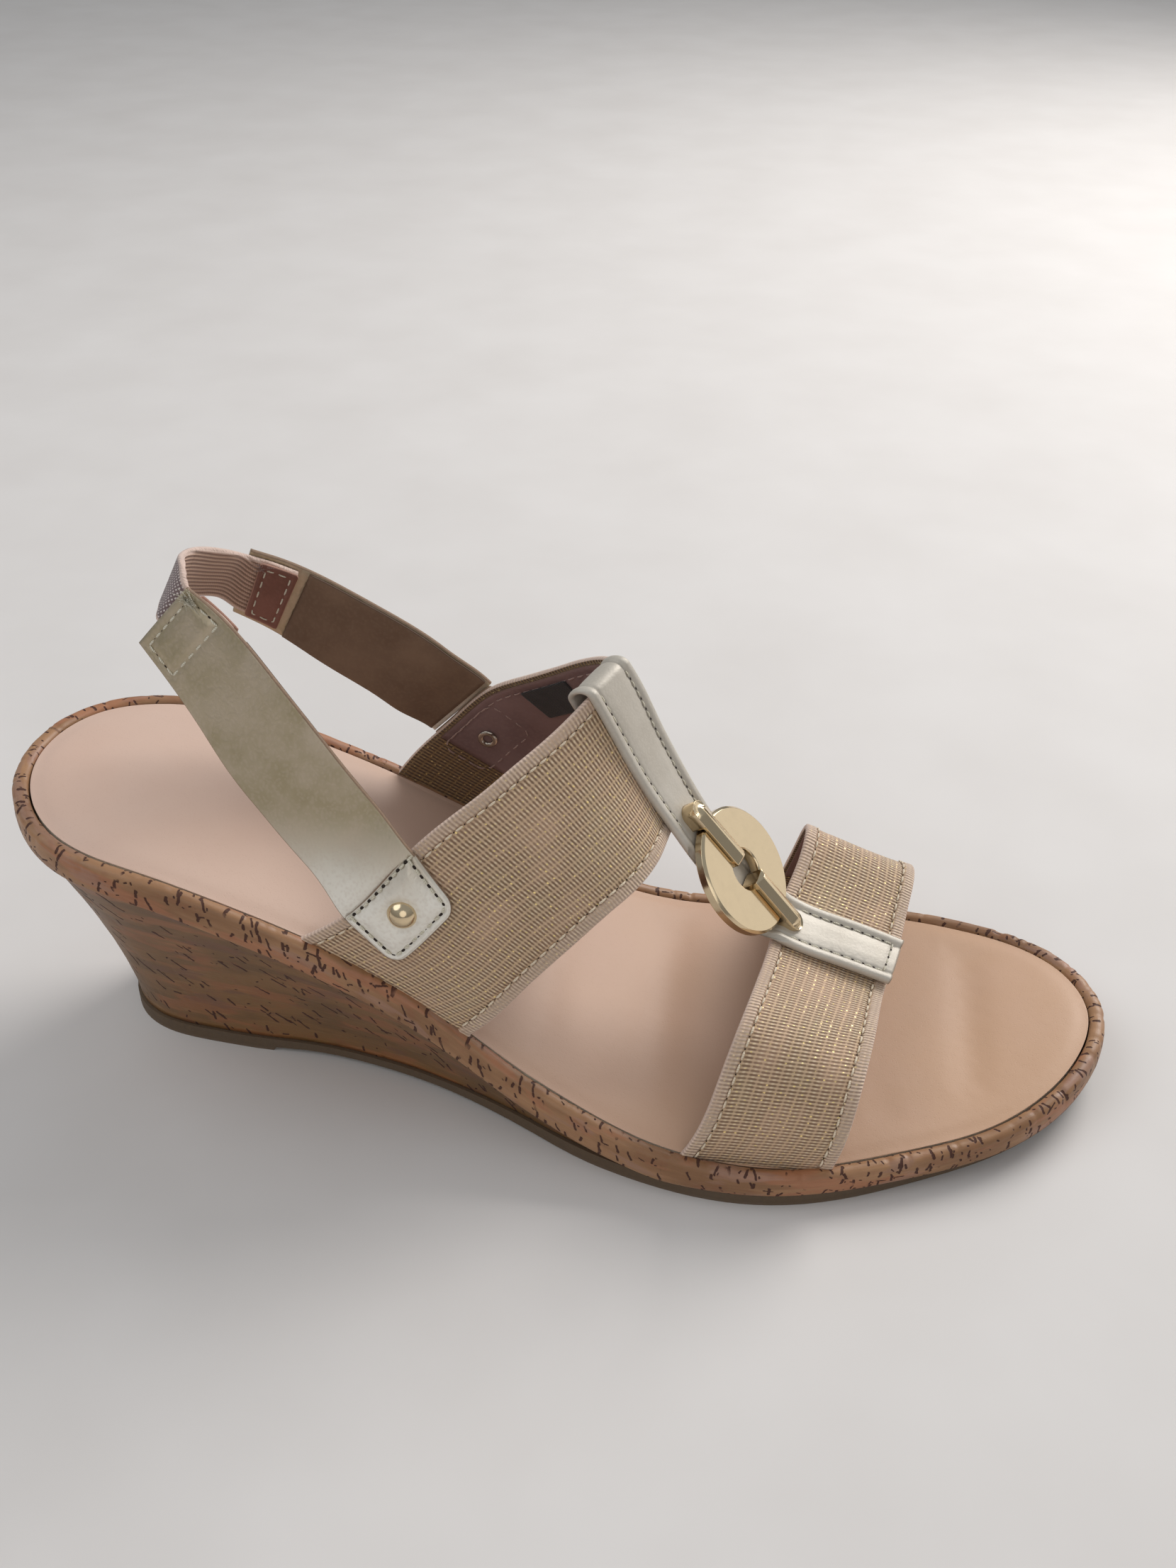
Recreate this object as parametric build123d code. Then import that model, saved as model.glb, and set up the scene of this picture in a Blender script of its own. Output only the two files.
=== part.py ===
from build123d import *
import math
import os
import numpy as np

# Right-foot T-bar slingback wedge sandal, in mm.
# Frame: +X runs from the heel to the toe, +Y to the inner (medial) side, +Z up.
# The origin is the centre of the heel pad where it meets the ground.
# The tables and places below are written with x = 0 at the back edge of the
# footbed; moved() brings them into the part's frame.

# ================================================================= driving sizes
HEEL_PAD_X = 34.0          # from the back of the footbed to the centre of the heel pad
ELASTIC_T = 1.2            # woven elastic of the two vamp bands
LINING_T = 0.7             # leather lining behind the elastic
LAYER_GAP = 0.15           # glue and thread space between stacked layers
STRAP_T = 1.5              # T strip: leather folded over a filler
SLING_T = 1.1              # sling strap leather
SLING_LINING_T = 0.6       # sling strap lining
HEEL_ELASTIC_T = 1.3       # elastic behind the heel
RIM_OUT = 3.6              # how far the cork rim stands outside the footbed edge
RIM_IN = 0.2               # clearance between the footbed edge and the rim
SLOT_DEPTH = 4.6           # how deep the instep band ends go down between footbed and rim
TOE_SLOT_DEPTH = 3.5       # the same for the toe band, where the platform is thin
OUTSOLE_T = 3.6
WRAP_T = 1.0               # cork sheet around the wedge
SOCK_T = 1.3
FOAM_T = 1.9
BOARD_T = 1.5
RING_R, RING_HOLE_R, RING_T = 14.6, 4.7, 2.4

# Range of x, and half width in y, that clear the whole shoe
BACK_X, FRONT_X, HALF_WIDTH = -9.0, 249.0, 70.0

# ================================================================= plan outlines, [x, y]
SOCK = [[1.1, 6.3], [6.8, 17.2], [24.7, 26.2], [55.5, 28.5], [90.4, 30.1], [125.5, 33.0],
        [160.6, 39.1], [190.6, 41.1], [215.8, 37.3], [233.9, 25.5], [241.3, 8.2],
        [237.0, -8.0], [222.0, -25.4], [199.0, -37.2], [171.1, -46.1], [139.2, -44.2],
        [109.1, -37.6], [74.0, -34.8], [43.5, -35.0], [17.7, -30.9], [2.6, -13.8]]
OUTSOLE = [[13.4, -1], [15.6, 7], [21.7, 12.8], [30.9, 16.2], [39.7, 17.4], [48, 17.9],
           [64, 19.4], [76, 21.2], [88, 23.6], [102, 26.6], [116, 29.8], [127, 33.0],
           [143, 38.2], [155, 41.3], [170, 43.6], [188, 45.0], [203, 43.8], [219, 39.2],
           [233, 29.6], [242, 15.5], [243.9, 3], [239, -10.5], [228, -23.2], [216, -31.4],
           [201, -38.8], [186, -45.4], [170.6, -49.3], [155, -49.3], [143, -47.0],
           [127, -41.6], [116, -36.3], [102, -30.2], [88.3, -25.6], [76, -22.8],
           [64, -21.2], [48.1, -20.8], [39.7, -20.2], [30.9, -19.2], [21.7, -15.9],
           [15.6, -9.4]]

# ================================================================= height profiles, [x, z]
EDGE_Z = [[-12, 68.2], [0, 67.3], [30, 63.6], [60, 53.5], [90, 39.2], [120, 19.9],
          [150, 10.4], [180, 8.4], [210, 9.1], [241, 13.5], [252, 15.6]]
RIM_Z = [[-12, 61.6], [0, 60.8], [30, 57.0], [60, 46.4], [90, 31.6], [120, 12.6],
         [136, 6.4], [151, 3.3], [180, 3.2], [198, 3.35], [215, 4.2], [230, 5.7],
         [244, 7.8], [252, 9.2]]
SOLE_Z = [[0, 0], [53, 0], [53.8, 1.0], [75, 1.5], [95, 1.4], [115, 0.7], [135, 0],
          [165, 0], [190, 0], [202, 0.35], [215, 1.3], [230, 3.0], [244, 5.2], [252, 6.6]]
SOLE_TOP_Z = [[-9, OUTSOLE_T], [110, OUTSOLE_T], [140, 3.25], [151, 3.15], [180, 3.05],
              [198, 3.2], [215, 4.05], [230, 5.55], [244, 7.65], [252, 9.05]]

# ================================================================= band edges, [x, y, z]
# Both bands run from the outer (lateral) base over the foot to the inner base
INSTEP_REAR = [[68.6, -36.2, 49.6], [79.5, -34.9, 56.9], [93.7, -31.5, 73.3],
               [99.5, -28.0, 78.0], [106.2, -23.0, 82.2], [111.7, -18.0, 85.8],
               [117.8, -12.2, 89.6], [122.2, -7.2, 92.6], [126.4, -1.0, 95.2],
               [129.4, 6.0, 96.2], [127.6, 12.4, 95.2], [121.5, 17.6, 91.6],
               [112.9, 22.0, 85.6], [104.3, 26.0, 79.8], [97.2, 29.0, 74.7],
               [86.5, 31.0, 63.0], [78.2, 31.3, 53.8], [73.2, 30.7, 47.2]]
INSTEP_FRONT = [[105.2, -38.5, 29.6], [109.8, -38.2, 34.2], [117.7, -36.3, 43.6],
                [124.0, -34.0, 50.3], [129.0, -31.0, 54.8], [133.9, -27.0, 58.4],
                [138.2, -22.5, 60.8], [141.3, -17.0, 62.8], [142.6, -11.0, 63.4],
                [143.2, -5.0, 63.0], [144.2, 1.0, 63.2], [144.4, 7.0, 63.2],
                [143.0, 13.0, 62.2], [139.6, 19.0, 60.6], [134.0, 25.0, 56.4],
                [127.0, 29.6, 50.6], [118.0, 32.3, 41.0], [108.6, 32.8, 28.2]]
TOE_REAR = [[150.6, -47.5, 7.6], [153.4, -47.2, 13.2], [156.1, -45.6, 20.0],
            [158.6, -42.4, 28.8], [161.4, -36.0, 36.8], [164.0, -24.0, 38.4],
            [166.4, -9.0, 37.4], [169.0, 9.0, 38.6], [172.0, 20.0, 42.2],
            [172.9, 27.6, 44.2], [172.4, 33.0, 40.6], [170.2, 37.6, 30.0],
            [167.4, 40.6, 18.0], [165.4, 41.4, 7.8]]
TOE_FRONT = [[183.6, -44.8, 6.9], [185.2, -44.5, 12.4], [186.8, -43.2, 19.6],
             [188.2, -39.4, 26.6], [190.2, -29.0, 30.2], [191.6, -18.0, 29.2],
             [193.0, -8.0, 27.8], [196.0, 5.0, 29.2], [198.2, 18.0, 32.6],
             [199.4, 27.0, 34.0], [199.0, 33.0, 31.6], [197.4, 38.6, 24.0],
             [195.0, 42.0, 14.8], [193.0, 42.6, 7.2]]
# T strip, from the fold over the instep band's rear edge to the toe band's front edge
T_OUTER = [[125.2, -4.6, 96.9], [129.0, -5.0, 90.2], [134.0, -5.5, 80.8], [139.4, -6.0, 71.9],
           [144.4, -6.5, 65.0], [147.6, -7.0, 60.6], [154.0, -7.1, 51.8], [161.2, -7.2, 43.6],
           [169.4, -7.4, 38.1], [180.8, -7.8, 34.2], [193.8, -8.0, 30.0]]
T_INNER = [[131.0, 9.0, 98.2], [134.2, 9.0, 92.6], [138.2, 8.5, 84.4], [142.6, 8.0, 75.6],
           [147.2, 7.3, 67.4], [150.4, 7.0, 62.2], [156.0, 6.7, 54.2], [163.2, 6.4, 46.4],
           [171.3, 6.3, 39.8], [183.4, 5.4, 36.0], [196.8, 5.0, 31.6]]
# Sling straps: lower/rear edge and upper/front edge, from the vamp to the heel elastic
SLING_LAT_REAR = [[83.4, -35.0, 51.0], [79.2, -34.7, 55.95], [75.6, -34.2, 61.6],
                  [69.2, -33.0, 69.6], [62.0, -31.5, 78.6], [56.2, -30.0, 86.2],
                  [51.0, -28.0, 94.2], [44.7, -25.8, 103.6], [38.9, -24.0, 111.3]]
SLING_LAT_FRONT = [[98.6, -32.1, 67.0], [93.7, -31.6, 73.0], [86.2, -31.0, 82.7],
                   [79.2, -30.0, 91.9], [74.0, -29.0, 99.0], [67.3, -27.5, 107.6],
                   [61.2, -25.5, 114.6], [55.1, -23.5, 120.0], [49.8, -22.0, 123.5]]
SLING_MED_REAR = [[86.4, 32.2, 54.6], [81.9, 31.6, 59.6], [75.2, 30.4, 65.4],
                  [68.7, 29.0, 71.3], [59.6, 26.4, 79.0], [48.9, 22.6, 89.4],
                  [41.2, 19.6, 95.4]]
SLING_MED_FRONT = [[101.4, 30.6, 69.4], [97.1, 30.2, 74.5], [91.6, 29.4, 80.4],
                   [85.6, 28.4, 86.2], [70.0, 25.2, 98.0], [55.5, 20.5, 108.2],
                   [48.2, 17.2, 112.3]]
# Heel elastic, the free run behind the heel: lower and upper edge, outer to inner side
LOOP_LOW = [[40.4, -17.0, 114.6], [37.4, -8.0, 112.0], [36.4, 0.0, 109.0],
            [37.4, 8.0, 105.2], [40.0, 14.4, 101.6]]
LOOP_HIGH = [[46.4, -15.6, 124.9], [43.4, -8.6, 123.7], [42.9, -1.6, 121.5],
             [44.2, 5.4, 118.3], [46.2, 11.2, 114.8]]


# ================================================================= curves and profiles
def cubic(points, closed=False):
    """Cubic spline through the points (natural ends, or periodic), and its knots."""
    pts = np.asarray(points, float)
    if closed:
        pts = np.vstack([pts, pts[:1]])
    knots = np.r_[0, np.cumsum(np.linalg.norm(np.diff(pts, axis=0), axis=1))]
    count, step = len(knots), np.diff(knots)
    slope = np.diff(pts, axis=0) / step[:, None]
    matrix, right = np.zeros((count, count)), np.zeros((count, pts.shape[1]))
    for i in range(1, count - 1):
        matrix[i, i - 1:i + 2] = step[i - 1], 2 * (step[i - 1] + step[i]), step[i]
        right[i] = 6 * (slope[i] - slope[i - 1])
    if closed:
        matrix[0, 0], matrix[0, -1] = 1, -1
        matrix[-1, 0], matrix[-1, 1] = 2 * step[0], step[0]
        matrix[-1, -2], matrix[-1, -1] = step[-1], 2 * step[-1]
        right[-1] = 6 * (slope[0] - slope[-1])
    else:
        matrix[0, 0] = matrix[-1, -1] = 1
    bend = np.linalg.solve(matrix, right)

    def at(where):
        where = np.atleast_1d(np.asarray(where, float))
        i = np.clip(np.searchsorted(knots, where, side="right") - 1, 0, count - 2)
        left, past = (knots[i + 1] - where)[:, None], (where - knots[i])[:, None]
        span = step[i][:, None]
        return ((bend[i] * left ** 3 + bend[i + 1] * past ** 3) / (6 * span)
                + (pts[i] / span - bend[i] * span / 6) * left
                + (pts[i + 1] / span - bend[i + 1] * span / 6) * past)
    return at, knots


def sample(points, count):
    """Evenly spaced points along an open spline."""
    at, knots = cubic(points)
    return at(np.linspace(0, knots[-1], count))


def height(table):
    """z as a smooth function of x that doesn't overshoot a table of [x, z]."""
    table = np.asarray(table, float)
    xs, zs = table[:, 0], table[:, 1]
    gap = np.diff(xs)
    slope = np.diff(zs) / gap
    grade = np.zeros(len(xs))
    grade[0], grade[-1] = slope[0], slope[-1]
    for i in range(1, len(xs) - 1):
        if slope[i - 1] * slope[i] > 0:
            before, after = 2 * gap[i] + gap[i - 1], gap[i] + 2 * gap[i - 1]
            grade[i] = (before + after) / (before / slope[i - 1] + after / slope[i])

    def profile(x):
        x = np.clip(np.asarray(x, float), xs[0], xs[-1])
        i = np.clip(np.searchsorted(xs, x, side="right") - 1, 0, len(xs) - 2)
        span = xs[i + 1] - xs[i]
        t = (x - xs[i]) / span
        return ((2 * t ** 3 - 3 * t ** 2 + 1) * zs[i]
                + (t ** 3 - 2 * t ** 2 + t) * span * grade[i]
                + (-2 * t ** 3 + 3 * t ** 2) * zs[i + 1]
                + (t ** 3 - t ** 2) * span * grade[i + 1])
    return profile


def raised(profile, rise):
    """A height profile moved up by rise."""
    return lambda x: profile(x) + rise


def outline(points, grow=0.0, count=72):
    """Closed plan outline, offset outwards by grow."""
    at, knots = cubic(points, True)
    where = np.linspace(0, knots[-1], count, endpoint=False)
    curve = at(where)
    along = at((where + 0.2) % knots[-1]) - at((where - 0.2) % knots[-1])
    normal = np.c_[along[:, 1], -along[:, 0]]
    normal /= np.linalg.norm(normal, axis=1)[:, None]
    xs, ys = curve[:, 0], curve[:, 1]
    area = 0.5 * np.sum(xs * np.roll(ys, -1) - np.roll(xs, -1) * ys)
    return curve + normal * grow * (1 if area > 0 else -1)


# ================================================================= solid helpers
def moved(x, y, z):
    return Vector(float(x) - HEEL_PAD_X, float(y), float(z))


def closed_wire(corners):
    return Wire.make_polygon([moved(*corner) for corner in corners], close=True)


def profile_curve(profile, xs, **options):
    """Spline along a height profile, on the outer side plane of a slab."""
    return Spline([moved(x, -HALF_WIDTH, float(profile(x))) for x in xs], **options)


def across(edges):
    """The area inside the edges, extruded over the whole width of the shoe."""
    return extrude(Face(Wire(edges)), amount=2 * HALF_WIDTH, dir=(0, 1, 0))


def plan_prism(points, bottom=-5.0, top=90.0):
    """Vertical prism over a closed plan outline."""
    edge = Spline([moved(x, y, bottom) for x, y in points], periodic=True)
    return extrude(Face(Wire([edge])), amount=top - bottom, dir=(0, 0, 1))


def slab(low, high, back=BACK_X, front=FRONT_X):
    """Everything between two height profiles."""
    xs = np.linspace(back, front, 44)
    bottom, top = profile_curve(low, xs), profile_curve(high, xs)
    return across([bottom, Line(bottom @ 1, top @ 1), top, Line(bottom @ 0, top @ 0)])


def one(shape):
    """The largest solid in a boolean's result."""
    return sorted(shape.solids(), key=lambda solid: -solid.volume)[0]


def cut(shape, tools):
    for tool in tools:
        shape = shape - tool
    return shape


def cyl(plane, radius, bottom, top):
    """Cylinder along a plane's normal, from bottom to top."""
    return Solid.make_cylinder(radius, top - bottom, plane.offset(bottom))


def upright(x, y, z, radius, bottom, length):
    """Vertical cylinder that starts at bottom above z."""
    return Solid.make_cylinder(radius, length, Plane(moved(x, y, z + bottom)))


class Ribbon:
    """A thin band between two edge curves. u runs along it, v across it from
    the first edge to the second, and out is the distance outwards from the
    surface through both edges."""

    def __init__(self, edge_a, edge_b, inside, count=600):
        self.edge_a, self.edge_b = sample(edge_a, count), sample(edge_b, count)
        self.count = count
        middle = (self.edge_a + self.edge_b) / 2
        normal = np.cross(np.gradient(middle, axis=0), self.edge_b - self.edge_a)
        normal /= np.linalg.norm(normal, axis=1)[:, None]
        away = middle - np.asarray(inside, float)
        self.normal = normal * np.sign(np.sum(normal * away, axis=1).mean())

    def at(self, u, v, out=0.0):
        place = np.clip(u, 0, 1) * (self.count - 1)
        i = int(min(math.floor(place), self.count - 2))
        part = place - i
        side_a, side_b, normal = (row[i] * (1 - part) + row[i + 1] * part
                                  for row in (self.edge_a, self.edge_b, self.normal))
        normal /= np.linalg.norm(normal)
        return side_a * (1 - v) + side_b * v + normal * out

    def section(self, u, v0, v1, low, high):
        """Corners of the cross-section at u, between two depths."""
        return [self.at(u, v0, low), self.at(u, v1, low),
                self.at(u, v1, high), self.at(u, v0, high)]

    def solid(self, low, high, stations, v0=0.0, v1=1.0):
        """Loft through the cross-sections at the given u stations."""
        wires = [closed_wire(self.section(u, v0, v1, low, high)) for u in stations]
        body = Solid.make_loft(wires, ruled=False)
        return body if body.volume > 0 else -body

    def plane(self, u, v):
        """Plane on the band: z outwards, x along it."""
        origin, ahead, above = self.at(u, v), self.at(min(u + 0.01, 1), v), self.at(u, v, 1.0)
        return Plane(origin=moved(*origin),
                     x_dir=Vector(*[float(t) for t in ahead - origin]),
                     z_dir=Vector(*[float(t) for t in above - origin]))

    def locate(self, point):
        """u and v of the place on the ribbon nearest a point."""
        best = None
        for u in np.linspace(0, 1, 161):
            for v in np.linspace(0, 1, 41):
                distance = float(np.linalg.norm(self.at(u, v) - np.asarray(point)))
                if best is None or distance < best[0]:
                    best = (distance, u, v)
        return best[1], best[2]


os.makedirs("parts", exist_ok=True)


def keep(name, shape):
    """Write a piece, or a list of like pieces, to its STEP file."""
    items = shape if isinstance(shape, list) else [shape]
    flat = [solid for item in items for solid in item.solids()]
    piece = flat[0] if len(flat) == 1 else Compound(children=flat)
    export_step(piece, os.path.join("parts", name + ".step"))


edge_z, rim_z, sole_z = height(EDGE_Z), height(RIM_Z), height(SOLE_Z)

# ================================================================= outsole
PAD_FRONT, STEP_FRONT, STEP_H = 53, 53.8, 1.0      # heel pad and the step up in front of it
BALL_BACK, BALL_FRONT = 135, 190                   # flat ball of the sole


def make_outsole():
    def under_line(x0, z0, x1, z1):
        return Line(moved(x0, -HALF_WIDTH, z0), moved(x1, -HALF_WIDTH, z1))

    # heel pad, step, arch, ball and toe spring
    under = [under_line(BACK_X, 0, PAD_FRONT, 0),
             under_line(PAD_FRONT, 0, STEP_FRONT, STEP_H),
             profile_curve(sole_z, np.linspace(STEP_FRONT, BALL_BACK, 12),
                           tangents=[Vector(1, 0, 0.04), Vector(1, 0, 0)]),
             under_line(BALL_BACK, 0, BALL_FRONT, 0),
             profile_curve(sole_z, np.linspace(BALL_FRONT, FRONT_X, 10),
                           tangents=[Vector(1, 0, 0), Vector(1, 0, 0.2)])]
    over = profile_curve(height(SOLE_TOP_Z), np.linspace(BACK_X, FRONT_X, 44))
    front, back = Line(under[-1] @ 1, over @ 1), Line(over @ 0, under[0] @ 0)
    return one(plan_prism(outline(OUTSOLE)) & across(under + [front, over, back]))


keep("outsole", make_outsole())

# ================================================================= wedge
WEDGE_BOTTOM = OUTSOLE_T + 0.1
WEDGE_LEVELS = [WEDGE_BOTTOM, 9.0, 17.0, 27.0, 38.0, 50.0, 64.0]
WEDGE_FRONT = 139.0
CORE_FRONT = 137.9
CORE_GAP = 0.15            # between the core and the cork wrap
GROUND_INSET = 0.7         # wedge foot inside the outsole edge
RIM_OVERHANG = 2.3         # wedge top outside the footbed edge
FLARE = 1.35               # power of the concave side walls
WIDTH_SPLIT_Y = -2.0       # separates the outer and inner halves of an outline


def wedge(inset, front):
    """Wedge with concave side walls, flaring from the ground to the rim, as a
    loft through level outlines. It still needs cutting to the rim's underside."""
    foot = outline(OUTSOLE, -GROUND_INSET - inset, 400)
    top = outline(SOCK, RIM_OVERHANG - inset, 400)

    def side_point(curve, sign, reach):
        back = curve[:, 0].min()
        x = back + (front - back) * reach
        half = curve[np.sign(curve[:, 1] - WIDTH_SPLIT_Y) == sign]
        half = half[np.argsort(half[:, 0])]
        return np.array([x, float(np.interp(x, half[:, 0], half[:, 1]))])

    # stations run from the outer side round the back to the inner side,
    # and bunch up at the back
    walls = []
    for station in np.linspace(-1, 1, 30):
        sign, reach = (-1 if station < 0 else 1), abs(station) ** 1.9
        walls.append((side_point(foot, sign, reach), side_point(top, sign, reach)))
    wires = []
    for z in WEDGE_LEVELS:
        points = []
        for low, high in walls:
            rise = (z - OUTSOLE_T) / max(float(rim_z(high[0])) - OUTSOLE_T, 7.0)
            spread = rise ** FLARE if rise <= 1 else 1 + FLARE * (rise - 1)
            points.append(low + (high - low) * min(spread, 1.25))
        curve = Spline([moved(x, y, z) for x, y in points])
        wires.append(Wire([curve, Line(curve @ 1, curve @ 0)]))
    return Solid.make_loft(wires, ruled=False)


def under_rim(gap):
    return slab(lambda x: WEDGE_BOTTOM, raised(rim_z, -gap), front=150)


wrap = one((wedge(0.0, WEDGE_FRONT) & under_rim(0.12)) - wedge(WRAP_T, WEDGE_FRONT - WRAP_T))
keep("wedge_cork_wrap", wrap)
core = one(wedge(WRAP_T + CORE_GAP, CORE_FRONT) & under_rim(0.2))

# ================================================================= footbed layers
GLUE = 0.05                # between footbed layers
INNER_GROW = -0.3          # the layers under the sock are this much smaller
RIM_RISE = 0.25            # rim above the footbed edge profile

sock_top = raised(edge_z, 0.9)
sock_bottom = raised(sock_top, -SOCK_T)
foam_top = raised(sock_bottom, -GLUE)
foam_bottom = raised(foam_top, -FOAM_T)
board_top = raised(foam_bottom, -GLUE)
board_bottom = raised(board_top, -BOARD_T)
filler_top = raised(board_bottom, -GLUE)


def layer(grow, low, high):
    return one(plan_prism(outline(SOCK, grow)) & slab(low, high))


sock = layer(0.0, sock_bottom, sock_top)
foam = layer(INNER_GROW, foam_bottom, foam_top)
board = layer(INNER_GROW, board_bottom, board_top)
filler = layer(INNER_GROW, rim_z, filler_top)
rim = one((plan_prism(outline(SOCK, RIM_OUT)) - plan_prism(outline(SOCK, RIM_IN)))
          & slab(rim_z, raised(edge_z, RIM_RISE)))

# ================================================================= shank and fasteners
SHANK_Y, SHANK_W = -2.5, 13.0
SHANK_BACK, SHANK_FRONT = 30.0, 126.0
RIVET_XS = [38.0, 117.0]
RIVET_R, RIVET_HOLE_R = 1.7, 1.75
SCREW_XY = [(27.0, -3.0)]
NAIL_XY = [(13.0, 7.0), (13.0, -14.0), (45.0, 14.0), (45.0, -20.0)]
# head then stem of each fastener and of its hole:
# (radius, bottom above the insole board's top, length)
SCREW = [(4.0, 0.05, 0.8), (2.1, -33.94, 34.0)]
SCREW_HOLE = [(2.15, -34.1, 34.2), (4.1, -0.35, 1.6)]
NAIL = [(2.2, 0.05, 0.6), (0.9, -17.85, 18.0)]
NAIL_HOLE = [(0.95, -17.95, 18.2), (2.3, -0.25, 1.3)]


def shank_bar(clearance, low, high):
    """Bar along the shank between two heights above the rim's underside."""
    block = Pos(moved((SHANK_BACK + SHANK_FRONT) / 2, SHANK_Y, 40)) \
        * Box(SHANK_FRONT - SHANK_BACK + clearance, SHANK_W + clearance, 120)
    return block & slab(raised(rim_z, low), raised(rim_z, high), back=20, front=135)


def stepped_pins(places, steps):
    """Two joined upright cylinders at each place, set from the board's top."""
    pins = []
    for x, y in places:
        first, second = [upright(x, y, float(board_top(x)), *step) for step in steps]
        pins.append(first + second)
    return pins


shank = one(shank_bar(0, -1.9, -0.6))
core = one(core - shank_bar(0.4, -2.0, 4))
rivets, holes = [], []
for x in RIVET_XS:
    top, bottom = float(board_top(x)) + 0.3, float(rim_z(x)) - 2.7
    rivets.append(upright(x, SHANK_Y, bottom, RIVET_R, 0, top - bottom))
    holes.append(upright(x, SHANK_Y, bottom, RIVET_HOLE_R, -0.1, top - bottom + 0.2))
holes += stepped_pins(SCREW_XY, SCREW_HOLE) + stepped_pins(NAIL_XY, NAIL_HOLE)
board, core, foam, filler, shank = [cut(body, holes)
                                    for body in (board, core, foam, filler, shank)]
keep("shank", one(shank))
keep("shank_rivets", rivets)
keep("heel_screw", one(stepped_pins(SCREW_XY, SCREW)[0]))
keep("heel_nails", [one(nail) for nail in stepped_pins(NAIL_XY, NAIL)])
keep("wedge_core", one(core))

# ================================================================= vamp bands
SLOT_CLEARANCE = 0.18
LINING_FRONT = -ELASTIC_T - LAYER_GAP          # depths below the band's outer face
LINING_BACK = LINING_FRONT - LINING_T
INSTEP_STATIONS, TOE_STATIONS = np.linspace(0, 1, 31), np.linspace(0, 1, 41)

instep = Ribbon(INSTEP_REAR, INSTEP_FRONT, inside=(105, 0, 45))
toe = Ribbon(TOE_REAR, TOE_FRONT, inside=(178, -2, 15))
t_strip = Ribbon(T_OUTER, T_INNER, inside=(140, 0, 40))


def tuck(ribbon, end, depth, grow=0.0):
    """The part of a band that goes straight down between the footbed and the rim."""
    corners = ribbon.section(end, 0, 1, -ELASTIC_T - grow, grow)
    along = (corners[1] - corners[0]) / np.linalg.norm(corners[1] - corners[0])
    corners = [corner + along * sign * grow for corner, sign in zip(corners, (-1, 1, 1, -1))]
    wires = [closed_wire([(x, y, z + drop) for x, y, z in corners])
             for drop in (0.0, -depth - grow)]
    return Solid.make_loft(wires, ruled=True)


def elastic_band(ribbon, stations, depth):
    """Elastic band with both ends tucked into the slot at the footbed edge."""
    body = ribbon.solid(-ELASTIC_T, 0, stations)
    return one(body + tuck(ribbon, 0.0, depth) + tuck(ribbon, 1.0, depth))


def slot_cutters(ribbon, depth):
    """Room for the band where it meets the footbed and the rim."""
    gap = SLOT_CLEARANCE
    return [tuck(ribbon, 0.0, depth, gap), tuck(ribbon, 1.0, depth, gap)] + [
        ribbon.solid(-ELASTIC_T - gap, gap, np.linspace(start, stop, 6), -0.006, 1.006)
        for start, stop in ((0.0, 0.09), (0.91, 1.0))]


instep_elastic = elastic_band(instep, INSTEP_STATIONS, SLOT_DEPTH)
toe_elastic = elastic_band(toe, TOE_STATIONS, TOE_SLOT_DEPTH)
toe_slots = slot_cutters(toe, TOE_SLOT_DEPTH)
band_slots = slot_cutters(instep, SLOT_DEPTH) + toe_slots
keep("platform_cork_rim", one(cut(rim, band_slots)))
keep("sock_lining", one(cut(sock, band_slots)))
keep("insole_board", one(cut(board, toe_slots)))
keep("bottom_filler", one(cut(filler, toe_slots)))
keep("footbed_foam", one(cut(foam, toe_slots)))
keep("toe_band_elastic", toe_elastic)
keep("toe_band_lining", toe.solid(LINING_BACK, LINING_FRONT, TOE_STATIONS[4:37], 0.03, 0.97))
instep_lining = instep.solid(LINING_BACK, LINING_FRONT, np.linspace(0.095, 0.905, 27),
                             0.03, 0.97)

# ================================================================= side tabs and studs
STUD_AT = {"lateral": (91.8, -34.0, 59.0), "medial": (96.3, 31.0, 60.4)}
# Each tab's corners about its stud: x along the band, y across it. The tab runs on
# in line with the sling, so it leans over the band
TAB_CORNERS = {"lateral": [(-12.85, -7.6), (7.35, -7.6), (12.9, 7.3), (-9.0, 7.3)],
               "medial": [(-6.0, -6.9), (13.2, -6.9), (8.95, 8.87), (-11.5, 8.87)]}
TAB_CORNER_R = 3.0
TAB_BLOCK_DEPTH = 9.0
DOME_R, DOME_CENTRE = 3.3, 0.42
# (radius, bottom, top) on the stud's axis, from the band's outer face
STUD_HEAD = (3.1, 1.42, 7.0)
STUD_POST = (0.95, -3.0, 1.8)
STUD_HOLE = (1.65, -6.0, 6.0)
TUBE = (1.55, -2.4, 1.2)
TUBE_FLANGE = (3.0, -2.85, -2.3)
TUBE_BORE = (1.02, -6, 6)


def make_tab(u, plane, corners):
    """Tab following the band, with its two low-y corners rounded."""
    patch = instep.solid(0.15, 1.35, np.linspace(u - 0.10, u + 0.10, 9), 0.012, 0.62)
    sketch = Polygon(*corners, align=None)
    sketch = fillet(sketch.vertices().sort_by(Axis.Y)[:2], TAB_CORNER_R)
    block = extrude(plane.offset(-TAB_BLOCK_DEPTH) * sketch, amount=2 * TAB_BLOCK_DEPTH,
                    dir=plane.z_dir)
    return one(one(patch & block) - cyl(plane, *STUD_HOLE))


def make_stud(plane):
    cap = Solid.make_sphere(DOME_R, plane.offset(DOME_CENTRE)) & cyl(plane, *STUD_HEAD)
    return one(cap + cyl(plane, *STUD_POST))


def make_tube(plane):
    return one(cyl(plane, *TUBE) + cyl(plane, *TUBE_FLANGE) - cyl(plane, *TUBE_BORE))


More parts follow.
